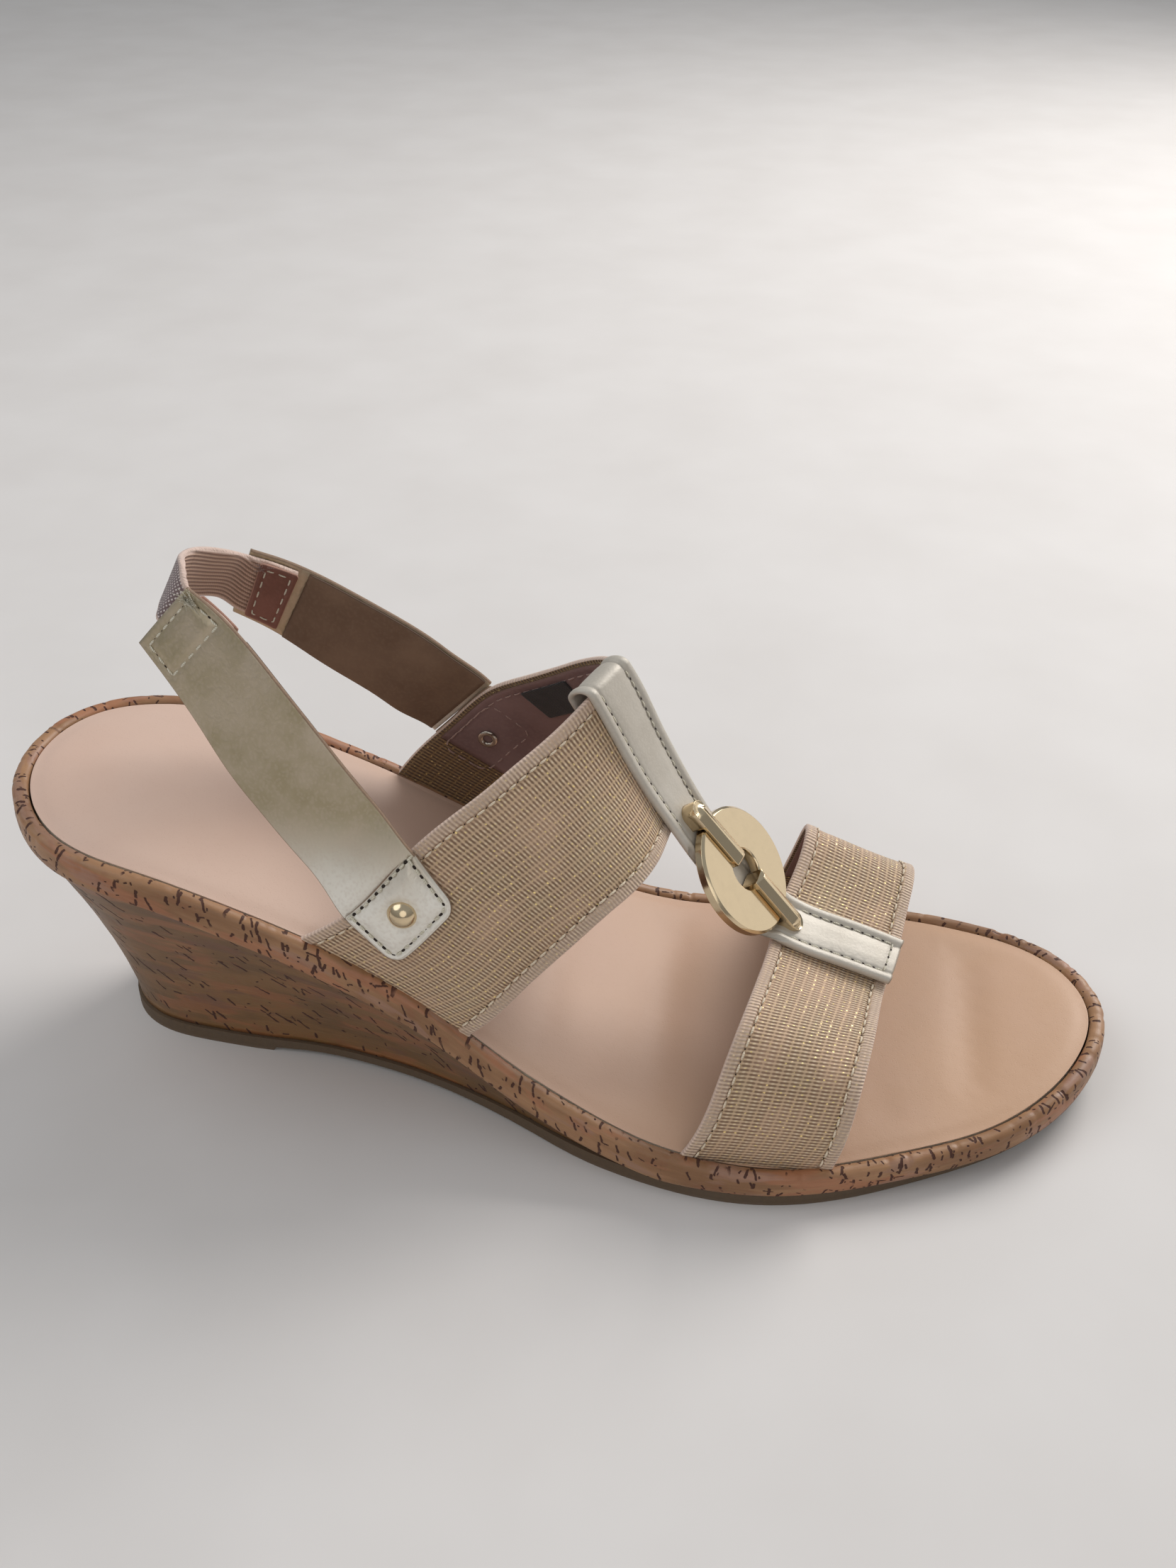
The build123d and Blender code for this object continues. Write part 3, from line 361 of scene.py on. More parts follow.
def mesh_object(name, points, faces, mats, uv=None, attrs=None):
    """A smooth-shaded object from points in mm, with its normals outwards."""
    mesh = bpy.data.meshes.new(name)
    mesh.from_pydata(put(points).reshape(-1, 3).tolist(), [], faces)
    if uv is not None:
        layer = mesh.uv_layers.new(name="mm")
        corner = np.zeros(len(mesh.loops), np.int64)
        mesh.loops.foreach_get("vertex_index", corner)
        flat_uv = np.asarray(uv, np.float32).reshape(-1, 2)
        layer.data.foreach_set("uv", flat_uv[corner].ravel())
    for key, values in (attrs or {}).items():
        attribute = mesh.attributes.new(key, "FLOAT", "POINT")
        attribute.data.foreach_set("value", np.asarray(values, np.float32).ravel())
    mesh.polygons.foreach_set("use_smooth", np.ones(len(mesh.polygons), bool))
    mesh.update()
    ob = bpy.data.objects.new(name, mesh)
    bpy.context.scene.collection.objects.link(ob)
    for mat in (mats if isinstance(mats, list) else [mats]):
        mesh.materials.append(mat)
    fix_normals(ob)
    return ob


def register(ob, replaces=None, body="shoe"):
    if body:
        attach(ob, body)
    if replaces:
        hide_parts(replaces)


def ring_quads(rings, size, base=0, closed=False):
    """Quads joining rings of size points; closed joins the last ring to the first."""
    quads = []
    for i in range(rings if closed else rings - 1):
        low, high = base + i * size, base + ((i + 1) % rings) * size
        for k in range(size):
            l = (k + 1) % size
            quads.append((low + k, low + l, high + l, high + k))
    return quads


def stack_faces(rings, size, base=0):
    """Faces of a capped stack of rings."""
    end = base + (rings - 1) * size
    return ring_quads(rings, size, base) + [
        tuple(range(base, base + size))[::-1], tuple(range(end, end + size))]


def tube_faces(sections, size, closed=False):
    """Faces of a tube of closed sections, capped unless it joins up."""
    faces = [(i, l, k, j) for i, j, k, l in ring_quads(sections, size, closed=closed)]
    if not closed:
        faces.append(tuple(range(size)))
        faces.append(tuple(range((sections - 1) * size, sections * size))[::-1])
    return faces


def band_section(run, width, edge, outer_at, inner_at, outer, inner, corner_points):
    """Closed sections of a band: cross and out of every point. outer_at and inner_at are
    fractions between the two rounded edges; outer and inner give the faces' heights."""
    cross_out = outer_at[None, :] * (width - 2 * edge) + edge
    cross_in = inner_at[None, :] * (width - 2 * edge) + edge
    out_out, out_in = outer(run, cross_out, width), inner(run, cross_in, width)
    turn = np.linspace(0, np.pi, corner_points + 2)[1:-1]

    def corner(cross, out_a, out_b, sign):
        mid, half = (out_a + out_b) / 2, (out_a - out_b) / 2
        return cross + sign * edge * np.sin(turn)[None, :], mid + half * np.cos(turn)[None, :]
    far_cross, far_out = corner(cross_out[:, -1:], out_out[:, -1:], out_in[:, :1], 1)
    near_cross, near_out = corner(cross_out[:, :1], out_in[:, -1:], out_out[:, :1], -1)
    return (np.hstack([cross_out, far_cross, cross_in, near_cross]),
            np.hstack([out_out, far_out, out_in, near_out]))


def band_mesh(name, rib, alongs, thick, mat, edge, n_out, n_in, outer, inner=None,
              shift=None, span=(0.0, 1.0)):
    """Sweeps a band section along a ribbon. outer and inner(run, cross, width) give the
    outer height and the inner height above -thick; shift moves both."""
    alongs = np.asarray(alongs, float)
    run = rib.run(alongs)[:, None]
    rib_width = rib.wide(alongs)[:, None]
    width = rib_width * (span[1] - span[0])
    part = np.linspace(0, 1, n_out)
    outer_at = part - 0.12 * np.sin(2 * np.pi * part) / (2 * np.pi) * 2.2
    corner_points = 4

    def inner_face(run, cross, width):
        return -thick + (inner(run, cross, width) if inner else 0 * cross)
    cross, out = band_section(run, width, edge, outer_at, np.linspace(1, 0, n_in),
                              outer, inner_face, corner_points)
    if shift is not None:
        out = out + shift(run, cross, width)
    across = span[0] + cross / np.maximum(rib_width, 1e-6)
    parts = [n_out, corner_points, n_in, corner_points]
    side, face = [np.broadcast_to(np.repeat(values, parts), cross.shape)
                  for values in ([0.0, 1.0, 0.0, 1.0], [1.0, 0.5, 0.0, 0.5])]
    uv = np.stack([np.broadcast_to(run, cross.shape), cross], -1)
    attrs = {"edge_mm": np.minimum(cross, width - cross), "side": side, "face": face}
    return mesh_object(name, rib.at(alongs[:, None], across, out), tube_faces(*cross.shape),
                       mat, uv, attrs)


def flat(height):
    """A band face at one height."""
    return lambda run, cross, width: height + 0 * cross


def ribbon_path(rib, alongs, acrosses, out):
    """Points and outward normals along a path on a ribbon."""
    alongs, acrosses = np.broadcast_arrays(np.asarray(alongs, float),
                                           np.asarray(acrosses, float))
    return rib.at(alongs, acrosses, out), rib.rows(alongs)[2]


def edge_rows(rib, parts, inset, out):
    """Paths along both edges of a ribbon, inset in mm, for each run of places along it."""
    paths = []
    for far in (False, True):
        for part in parts:
            across = inset / rib.wide(part)
            paths.append(ribbon_path(rib, part, 1 - across if far else across, out))
    return paths


def inside_out(path):
    return path[0], -path[1]


def stitches(name, paths, mat, radius, length, gap, lift, hole_radius=None):
    """Sewn thread: short tapered capsules along each path of (points, normals), with
    needle holes between them when a hole radius is given."""
    part = np.array([0.0, 0.1, 0.3, 0.5, 0.7, 0.9, 1.0])
    taper = radius * np.array([0.25, 0.8, 1.0, 1.0, 1.0, 0.8, 0.25])
    height = lift + np.array([-0.22, -0.08, 0.02, 0.06, 0.02, -0.08, -0.22])
    sides, hole_sides = 6, 8
    turn = 2 * math.pi * np.arange(sides)[:, None] / sides
    hole_turn = 2 * math.pi * np.arange(hole_sides)[:, None] / hole_sides
    verts, faces, slots, uv = [], [], [], []
    for points, normals in paths:
        stops = run_length(points)
        total = stops[-1]
        if total < length:
            continue
        count = max(int(round((total + gap) / (length + gap))), 1)
        pitch = (total + gap) / count

        def place(run):
            return [np.stack([np.interp(run, stops, values[:, k]) for k in range(3)], -1)
                    for values in (points, normals)]
        for i in range(count):
            run = i * pitch + (pitch - gap) * part
            centre, normal = place(run)
            normal = unit(normal)
            sideways = np.cross(unit(np.gradient(centre, axis=0)), normal)
            centre = centre + normal * height[:, None]
            rings = centre[:, None] + (normal[:, None] * np.sin(turn) * 0.8
                                       + sideways[:, None] * np.cos(turn)) * taper[:, None, None]
            new = stack_faces(len(part), sides, len(verts))
            faces += new
            slots += [0] * len(new)
            verts.extend(rings.reshape(-1, 3))
            uv += [(stop, j) for stop in run for j in range(sides)]
            if hole_radius is None:
                continue
            # needle hole: a dark lens laid on the surface; its dark colour is painted shade
            start = i * pitch + (pitch - gap) + gap / 2
            centre, normal = place(np.array([start, start + 0.05]))
            ahead = centre[1] - centre[0]
            if np.linalg.norm(ahead) < 1e-9:    # past the end of the path
                continue
            ahead, normal = unit(ahead), unit(normal[0])
            sideways = np.cross(ahead, normal)
            base = len(verts)
            verts.extend(centre[0] + (ahead * np.cos(hole_turn) * 1.15
                                      + sideways * np.sin(hole_turn) * 0.9) * hole_radius
                         - normal * 0.02)
            verts += [centre[0] + normal * 0.07, centre[0] - normal * 0.14]
            uv += [(0, 0)] * (hole_sides + 2)
            top, bottom = base + hole_sides, base + hole_sides + 1
            for j in range(hole_sides):
                l = (j + 1) % hole_sides
                faces += [(base + j, base + l, top), (base + l, base + j, bottom)]
                slots += [1, 1]
    mats = [mat] if hole_radius is None else [mat, HOLE_SHADE]
    ob = mesh_object(name, np.array(verts), faces, mats, np.array(uv, float))
    ob.data.polygons.foreach_set("material_index", np.array(slots, np.int32))
    return ob


def rounded_rect(length, width, radius=0.0, radii=None):
    """Evenly spaced outline of a rounded rectangle centred on 0, anticlockwise.
    radii: one per corner (+x+y, -x+y, -x-y, +x-y)."""
    corners = ((1, 1, 0), (-1, 1, 90), (-1, -1, 180), (1, -1, 270))
    points = []
    for (sign_x, sign_y, first), bend in zip(corners, radii or [radius] * 4):
        for k in range(12):
            angle = math.radians(first + 90 * k / 11)
            points.append((sign_x * (length / 2 - bend) + bend * math.cos(angle),
                           sign_y * (width / 2 - bend) + bend * math.sin(angle)))
    points = np.array(points + points[:1])
    stops = run_length(points)
    keep = np.r_[True, np.diff(stops) > 1e-9]
    points, stops = points[keep], stops[keep]
    count = max(int(stops[-1] / 0.7), 40)
    even = np.linspace(0, stops[-1], count, endpoint=False)
    return np.stack([np.interp(even, stops, points[:, k]) for k in range(2)], -1)


def edge_distance(points, poly):
    """Distance from points to a closed polygon's outline."""
    side = np.roll(poly, -1, 0) - poly
    rel = points[:, None, :] - poly[None]
    part = np.clip((rel * side[None]).sum(-1) / (side * side).sum(-1)[None], 0, 1)
    return np.linalg.norm(rel - part[..., None] * side[None], axis=-1).min(1)


def patch_mesh(name, poly, surface, top, thick, mat, rings=14):
    """A sewn-on patch. poly is its outline in local mm, surface(x, y, out) maps it to the
    shoe, and top(points, margin) is its height at that distance from the edge."""
    centre = poly.mean(0)
    reach = np.linalg.norm(poly - centre, axis=1)[:, None]
    away = (poly - centre) / reach
    layers = [(poly - away * 0.25, 0.0), (poly, thick * 0.35), (poly - away * 0.08, thick * 0.7)]
    skirt = len(layers)
    for size in 1 - np.linspace(0, 1, rings + 1)[:-1] ** 1.6:
        ring = centre + (poly - centre) * size
        ring = centre + (ring - centre) * (1 - 0.35 / reach)
        layers.append((ring, top(ring, edge_distance(ring, poly))))
    count = len(poly)
    points = np.vstack([surface(ring[:, 0], ring[:, 1], out + np.zeros(count))
                        for ring, out in layers])
    local = np.vstack([ring for ring, out in layers])
    side = np.repeat([1.0] * skirt + [0.0] * rings, count)
    attrs = {"side": side, "edge_mm": edge_distance(local, poly), "face": np.ones(len(local))}
    return mesh_object(name, points, stack_faces(len(layers), count), mat, local, attrs)


# ---------------------------------------------------------------- material helpers
def srgb(*levels):
    """sRGB 0-255 to a linear colour."""
    def linear(level):
        level /= 255.0
        return level / 12.92 if level <= 0.04045 else ((level + 0.055) / 1.055) ** 2.4
    return tuple(linear(level) for level in levels) + (1.0,)


def scaled(colour, factor):
    return tuple(min(level * factor, 1) for level in colour[:3]) + (1.0,)


class Value:
    """A shader output that takes arithmetic; each operation adds a node."""

    def __init__(self, mat, socket):
        self.mat, self.socket = mat, socket

    def __add__(self, other):
        return self.mat.math("ADD", self, other)

    def __sub__(self, other):
        return self.mat.math("SUBTRACT", self, other)

    def __rsub__(self, other):
        return self.mat.math("SUBTRACT", other, self)

    def __mul__(self, other):
        return self.mat.math("MULTIPLY", self, other)

    def __truediv__(self, other):
        return self.mat.math("DIVIDE", self, other)

    def scale_add(self, scale, add):
        return self.mat.math("MULTIPLY_ADD", self, scale, add)

    def ramp(self, lo, hi):
        """Smooth 0..1 as the value goes from lo to hi."""
        inputs = {"Value": self, "From Min": lo, "From Max": hi, "To Min": 0.0, "To Max": 1.0}
        node = self.mat.node("ShaderNodeMapRange", inputs, interpolation_type="SMOOTHSTEP")
        return Value(self.mat, node.outputs[0])

    def wave(self, period):
        """0..1 cosine wave of a length in mm."""
        angle = self.scale_add(2 * math.pi / period, 0.0)
        return self.mat.math("COSINE", angle).scale_add(0.5, 0.5)


class Mat:
    """A Principled material under construction; its lengths are in mm."""

    def __init__(self, name):
        self.material = bpy.data.materials.new(name)
        self.material.use_nodes = True
        self.tree = self.material.node_tree
        self.tree.nodes.clear()
        output = self.tree.nodes.new("ShaderNodeOutputMaterial")
        self.shader = self.tree.nodes.new("ShaderNodeBsdfPrincipled")
        self.tree.links.new(self.shader.outputs[0], output.inputs[0])

    def link(self, socket, value):
        if isinstance(value, Value):
            self.tree.links.new(value.socket, socket)
        else:
            socket.default_value = value

    def node(self, kind, inputs=None, **props):
        node = self.tree.nodes.new(kind)
        for key, value in props.items():
            setattr(node, key, value)
        for key, value in (inputs or {}).items():
            self.link(node.inputs[key], value)
        return node

    def result(self, output, kind, inputs=None, **props):
        return Value(self, self.node(kind, inputs, **props).outputs[output])

    def surface(self, **inputs):
        """Sets the shader's inputs and returns the material."""
        for key, value in inputs.items():
            self.link(self.shader.inputs[key.replace("_", " ")], value)
        return self.material

    def obj(self):
        """Object coordinates, in mm."""
        return self.vmath("SCALE", self.result("Object", "ShaderNodeTexCoord"), scale=1000.0)

    def uv(self):
        return self.result(0, "ShaderNodeUVMap", uv_map="mm")

    def attr(self, name):
        return self.result("Fac", "ShaderNodeAttribute", attribute_name=name)

    def math(self, operation, *values):
        values = (values + (0.0, 0.0))[:3]
        return self.result(0, "ShaderNodeMath", dict(enumerate(values)), operation=operation)

    def vmath(self, operation, first, second=None, scale=None):
        inputs = {0: first}
        if second is not None:
            inputs[1] = second
        if scale is not None:
            inputs["Scale"] = scale
        return self.result(0, "ShaderNodeVectorMath", inputs, operation=operation)

    def sep(self, vector):
        node = self.node("ShaderNodeSeparateXYZ", {0: vector})
        return [Value(self, node.outputs[i]) for i in range(3)]

    def comb(self, x, y, z=0.0):
        return self.result(0, "ShaderNodeCombineXYZ", {0: x, 1: y, 2: z})

    def noise(self, vector, scale, detail=2.0, rough=0.5):
        return self.result("Fac", "ShaderNodeTexNoise", {
            "Vector": vector, "Scale": scale, "Detail": detail, "Roughness": rough,
            "Distortion": 0.0}, noise_dimensions="3D")

    def sheet_noise(self, run, cross, size, seed=0.0, detail=2.0, rough=0.5):
        """Noise over a sheet, with grains of size (run, cross) mm."""
        vector = self.comb(run * (1 / size[0]), cross * (1 / size[1]), seed)
        return self.noise(vector, 1.0, detail, rough)

    def voronoi(self, vector, scale, feature="F1"):
        return self.result("Distance", "ShaderNodeTexVoronoi", {
            "Vector": vector, "Scale": scale, "Randomness": 1.0}, feature=feature)

    def mix(self, factor, first, second):
        return self.result(2, "ShaderNodeMix", {0: factor, 6: first, 7: second},
                           data_type="RGBA", blend_type="MIX")

    def over(self, base, mask, colour, strength=None):
        """Lays a colour over the base where the mask is set."""
        return self.mix(mask if strength is None else mask * strength, base, colour)

    def lerp(self, factor, first, second):
        return self.result(0, "ShaderNodeMix", {0: factor, 2: first, 3: second},
                           data_type="FLOAT")

    def bump(self, height, mm):
        return self.result(0, "ShaderNodeBump", {
            "Strength": 1.0, "Distance": mm / 1000.0, "Height": height})


# ---------------------------------------------------------------- materials
def make_elastic():
    """Woven champagne elastic: fine cross ribs, warp columns and gold lurex floats."""
    mat = Mat("gold_elastic")
    rib_pitch, column_pitch = 0.84, 1.12
    run, cross, _ = mat.sep(mat.uv())
    edge, face, side = mat.attr("edge_mm"), mat.attr("face"), mat.attr("side")
    drift = run + mat.sheet_noise(run, cross, size=(20.0, 4.0)) * 0.35
    rib = drift.wave(rib_pitch)
    column = cross.wave(column_pitch)
    # neighbouring columns are offset by half a rib
    stagger = mat.math("ROUND", cross / column_pitch)
    thread = (drift + stagger * (rib_pitch / 2)).wave(rib_pitch) * column
    sparkle = mat.sheet_noise(run, cross, size=(1.1, 1.1), detail=3.0, rough=0.65)
    zone = mat.sheet_noise(run, cross, size=(14.0, 9.0), seed=3.7)
    tick = (drift + stagger * 0.9).wave(rib_pitch * 2)
    glint = (thread.ramp(lo=0.40, hi=0.75) * tick.ramp(lo=0.30, hi=0.70)
             * sparkle.ramp(lo=0.50, hi=0.60))
    weave = rib * 0.68 + thread * 0.38
    gold, hem_pink = srgb(252, 224, 150), srgb(232, 206, 190)
    colour = mat.mix(weave.ramp(lo=0.12, hi=0.62), srgb(130, 100, 76), srgb(204, 172, 138))
    colour = mat.over(colour, weave.ramp(lo=0.55, hi=1.0), srgb(242, 220, 188), strength=0.75)
    colour = mat.over(colour, zone.ramp(lo=0.45, hi=0.75), srgb(222, 182, 152), strength=0.30)
    colour = mat.over(colour, zone.ramp(lo=0.52, hi=0.25), srgb(206, 192, 150), strength=0.14)
    colour = mat.over(colour, glint, gold)
    # turned hem: pinker, ribbed across, without lurex
    hem = 1.0 - edge.ramp(lo=2.5, hi=3.0)
    hem_rib = run.wave(0.80)
    hem_colour = mat.mix(hem_rib, srgb(190, 162, 142), srgb(226, 202, 182))
    hem_colour = mat.over(hem_colour, 1.0 - edge.ramp(lo=0.2, hi=1.3), hem_pink, strength=0.6)
    colour = mat.over(colour, hem, hem_colour, strength=0.50)
    # inner face: plain backing, painted dark brown as the shade inside the band, with sparse
    # lurex
    shaded_backing = mat.mix(weave.ramp(lo=0.1, hi=0.8), srgb(84, 62, 42), srgb(146, 116, 78))
    shaded_backing = mat.over(shaded_backing, glint, gold, strength=0.8)
    colour = mat.over(colour, face.ramp(lo=0.6, hi=0.4), shaded_backing)
    colour = mat.over(colour, side.ramp(lo=0.3, hi=0.9), srgb(226, 198, 180), strength=0.8)
    height = mat.lerp(hem, weave, hem_rib * 0.8 + 0.2)
    height = height + mat.noise(mat.comb(run * 3.0, cross * 3.0), scale=1.0) * 0.25
    metal = glint * (1.0 - hem)
    return mat.surface(Base_Color=colour, Metallic=metal * 0.85,
                       Roughness=mat.lerp(metal, 0.62, 0.28), Sheen_Weight=0.25,
                       Sheen_Roughness=0.4, Normal=mat.bump(height, mm=0.20))


def make_leather(name, base, light, dark, cut_edge, metallic=0.0, rough=0.55, grain=0.8,
                 bump=0.05, blotch=22.0, low_reflection_colour=None):
    """The low colour argument, a pale painted reflection of light, takes over, with less metal,
    towards the ground.
    low_reflection_colour takes over, with less metal, towards the ground."""
    mat = Mat(name)
    place = mat.uv()
    wobble = mat.noise(place, scale=0.35)
    warp = mat.vmath("SCALE", mat.comb(wobble, wobble, wobble), scale=1.5)
    pebble = mat.voronoi(mat.vmath("ADD", place, warp), 1.0 / grain, "SMOOTH_F1")
    fine = mat.noise(place, scale=3.2, detail=4.0, rough=0.65)
    cloud = mat.noise(place, scale=1.0 / blotch, detail=3.0, rough=0.55)
    colour = mat.mix(cloud.ramp(lo=0.32, hi=0.68), dark, light)
    colour = mat.mix(0.5, colour, base)
    metal = metallic
    if low_reflection_colour is not None:
        height = mat.sep(mat.obj())[2]
        # painted reflection: low down, near the tab, a pale colour stands in for the light the
        # metallic leather reflects
        low = (height + cloud * 14.0).ramp(lo=88.0, hi=66.0)
        colour = mat.over(colour, low, low_reflection_colour)
        metal = mat.lerp((height + cloud * 14.0).ramp(lo=90.0, hi=64.0), metallic, 0.22)
    colour = mat.over(colour, pebble.ramp(lo=0.55, hi=0.15), light, strength=0.22)
    colour = mat.over(colour, fine.ramp(lo=0.62, hi=0.80), dark, strength=0.35)
    side = mat.attr("side").ramp(lo=0.25, hi=0.75)
    streak = mat.noise(place, scale=1.6, detail=3.0)
    colour = mat.over(colour, side, mat.mix(streak, cut_edge, scaled(cut_edge, 0.6)))
    roughness = mat.lerp(side, fine.scale_add(0.18, rough - 0.09), 0.75)
    return mat.surface(Base_Color=colour, Metallic=(1.0 - side) * metal, Roughness=roughness,
                       Coat_Weight=0.0, Coat_Roughness=0.35,
                       Normal=mat.bump(pebble * 0.7 + fine * 0.5, mm=bump))


def crack_lines(mat, place, cell, seed, angle, spread, least, most, width, chance, wobble):
    """Mask of short wavering cracks, one to a cell of the given size at most."""
    place = mat.vmath("ADD", place, mat.comb(seed * 13.7, seed * 7.3))
    wander_x = mat.noise(mat.vmath("SCALE", place, scale=0.55), scale=1.0, rough=0.6)
    apart = mat.vmath("ADD", mat.vmath("SCALE", place, scale=0.55), (9.1, 4.2, 3.3))
    wander_y = mat.noise(apart, scale=1.0, rough=0.6)
    place = mat.vmath("ADD", place, mat.comb(wander_x.scale_add(2 * wobble, -wobble),
                                             wander_y.scale_add(2 * wobble, -wobble)))
    cells = mat.node("ShaderNodeTexVoronoi", {
        "Vector": place, "Scale": 1.0 / cell, "Randomness": 0.9},
        voronoi_dimensions="2D", feature="F1")
    x, y, _ = mat.sep(mat.vmath("SUBTRACT", place, Value(mat, cells.outputs["Position"])))
    turn, size, pick = mat.sep(Value(mat, cells.outputs["Color"]))
    angle = turn.scale_add(2 * spread, angle - spread)
    cos, sin = mat.math("COSINE", angle), mat.math("SINE", angle)
    lengthwise = x * cos + y * sin
    sideways = y * cos - x * sin
    half = (size * size).scale_add(most - least, least)
    beyond = mat.math("MAXIMUM", mat.math("ABSOLUTE", lengthwise) - half, 0.0)
    distance = mat.math("SQRT", beyond * beyond + sideways * sideways)
    line = 1.0 - (distance / (wander_x.scale_add(1.2, 0.4) * width)).ramp(lo=0.55, hi=1.15)
    return line * mat.math("GREATER_THAN", pick, 1.0 - chance)


UP = math.pi / 2
# Colours of the ground (low, high), of its orange and mauve bands, and the sets of cracks:
# cell, seed, angle, spread, least and most half length, width, chance, wobble.
CORKS = {
    "cork_rim": (
        (srgb(138, 98, 64), srgb(166, 123, 86), srgb(174, 112, 78), srgb(160, 122, 103)),
        [(4.4, 1.0, UP, 0.30, 0.7, 2.1, 0.32, 0.75, 0.5),
         (3.2, 2.0, UP, 0.45, 0.4, 1.4, 0.26, 0.60, 0.4),
         (5.5, 3.0, 0.1, 0.5, 0.5, 1.6, 0.22, 0.30, 0.5),
         (2.2, 4.0, UP, 1.4, 0.1, 0.45, 0.18, 0.30, 0.3)]),
    "shaded_cork_wall": (
        # the wall's ground and bands are the cork painted darker than the rim's, as shade on the
        # wall
        (srgb(112, 80, 44), srgb(133, 95, 54), srgb(156, 98, 60), srgb(116, 78, 58)),
        [(8.0, 1.0, 0.98, 0.20, 1.2, 3.2, 0.36, 0.62, 0.5),
         (7.0, 2.0, 1.02, 0.22, 0.9, 2.6, 0.32, 0.50, 0.5),
         (6.5, 3.0, UP, 0.25, 0.6, 1.8, 0.32, 0.34, 0.4),
         (8.0, 5.0, 0.15, 0.30, 0.5, 1.8, 0.28, 0.30, 0.4),
         (3.6, 4.0, UP, 1.4, 0.1, 0.5, 0.20, 0.22, 0.3)]),
}


def make_cork(name):
    """Cork sheet: tan ground in faint level bands, with short dark cracks over it."""
    mat = Mat(name)
    (low, high, orange, mauve), crack_sets = CORKS[name]
    run, cross, _ = mat.sep(mat.uv())
    place = mat.comb(run, cross)

    def grains(size, seed, detail=3.0, rough=0.55):
        return mat.sheet_noise(run, cross, size, seed, detail, rough)
    grain = grains((12.0, 0.9), seed=5.0, detail=4.0, rough=0.6)
    speck = mat.noise(place, scale=2.2, detail=3.0, rough=0.6)
    orange_mask = grains((26.0, 6.5), seed=9.0).ramp(lo=0.52, hi=0.60)
    mauve_mask = grains((18.0, 5.5), seed=77.0).ramp(lo=0.56, hi=0.64)
    colour = mat.mix(grains((30.0, 8.0), seed=1.0).ramp(lo=0.38, hi=0.60), low, high)
    colour = mat.over(colour, orange_mask, orange, strength=0.60)
    colour = mat.over(colour, mauve_mask, mauve, strength=0.60)
    colour = mat.over(colour, grain.ramp(lo=0.52, hi=0.72), srgb(122, 82, 50), strength=0.20)
    colour = mat.over(colour, grain.ramp(lo=0.46, hi=0.28), srgb(204, 160, 114), strength=0.16)
    colour = mat.over(colour, speck.ramp(lo=0.60, hi=0.74), srgb(112, 66, 42), strength=0.22)
    crack = 0.0
    for crack_set in crack_sets:
        crack = mat.math("MAXIMUM", crack, crack_lines(mat, place, *crack_set))
    # they gather in clusters, with clean sheet between
    cluster = mat.sheet_noise(run, cross, size=(9.0, 7.0), seed=31.0)
    crack = crack * cluster.ramp(lo=0.37, hi=0.44)
    stain = grains((5.0, 4.0), seed=71.0, detail=2.0).ramp(lo=0.52, hi=0.72)
    colour = mat.over(colour, stain, srgb(138, 80, 54), strength=0.30)
    colour = mat.over(colour, crack, srgb(66, 30, 20), strength=0.93)
    height = grain * 0.25 + speck * 0.25 - crack * 1.5
    return mat.surface(Base_Color=colour, Roughness=mat.lerp(crack, 0.50, 0.85),
                       Coat_Weight=0.12, Coat_Roughness=0.3, Normal=mat.bump(height, mm=0.18))


def make_sock():
    """Smooth nude leather: paler towards the heel, partly its own tone and partly painted light,
    tan towards the toe.
    """
    mat = Mat("sock_leather")
    place = mat.obj()
    toe_side = mat.sep(place)[0].ramp(lo=-30.0, hi=170.0)
    cloud = mat.noise(place, scale=1 / 38.0, detail=3.0)
    fine = mat.noise(place, scale=2.4, detail=5.0, rough=0.7)
    pores = mat.voronoi(place, 1.7)
    # the paler heel end is partly painted light, the tan toe end its own tone
    colour = mat.mix(toe_side, srgb(216, 186, 168), srgb(196, 156, 124))
    colour = mat.over(colour, cloud.ramp(lo=0.35, hi=0.7), srgb(202, 164, 142), strength=0.35)
    colour = mat.over(colour, pores.ramp(lo=0.22, hi=0.06), srgb(176, 138, 116), strength=0.18)
    colour = mat.over(colour, fine.ramp(lo=0.60, hi=0.78), srgb(190, 150, 126), strength=0.12)
    height = fine * 0.5 + pores.ramp(lo=0.05, hi=0.35) * 0.5
    height = height + mat.noise(place, scale=0.12) * 3.0
    return mat.surface(Base_Color=colour, Roughness=fine.scale_add(0.16, 0.42),
                       Specular_IOR_Level=0.42, Sheen_Weight=0.12, Sheen_Roughness=0.5,
                       Normal=mat.bump(height, mm=0.035))


def make_metal(name, base, rough):
    """Polished metal with smudges and hairline scratches."""
    mat = Mat(name)
    place = mat.obj()
    smudge = mat.noise(place, scale=0.35, detail=3.0, rough=0.6)
    hair = mat.noise(mat.vmath("MULTIPLY", place, (9.0, 0.7, 2.0)), scale=1.0, detail=3.0,
                     rough=0.6)
    colour = mat.over(base, smudge.ramp(lo=0.4, hi=0.8), scaled(base, 0.82), strength=0.25)
    colour = mat.over(colour, hair.ramp(lo=0.62, hi=0.75), scaled(base, 1.12), strength=0.15)
    roughness = smudge.scale_add(0.10, rough - 0.05) + hair.ramp(lo=0.60, hi=0.75) * 0.06
    return mat.surface(Base_Color=colour, Metallic=1.0, Roughness=roughness,
                       Normal=mat.bump(hair + smudge, mm=0.006))


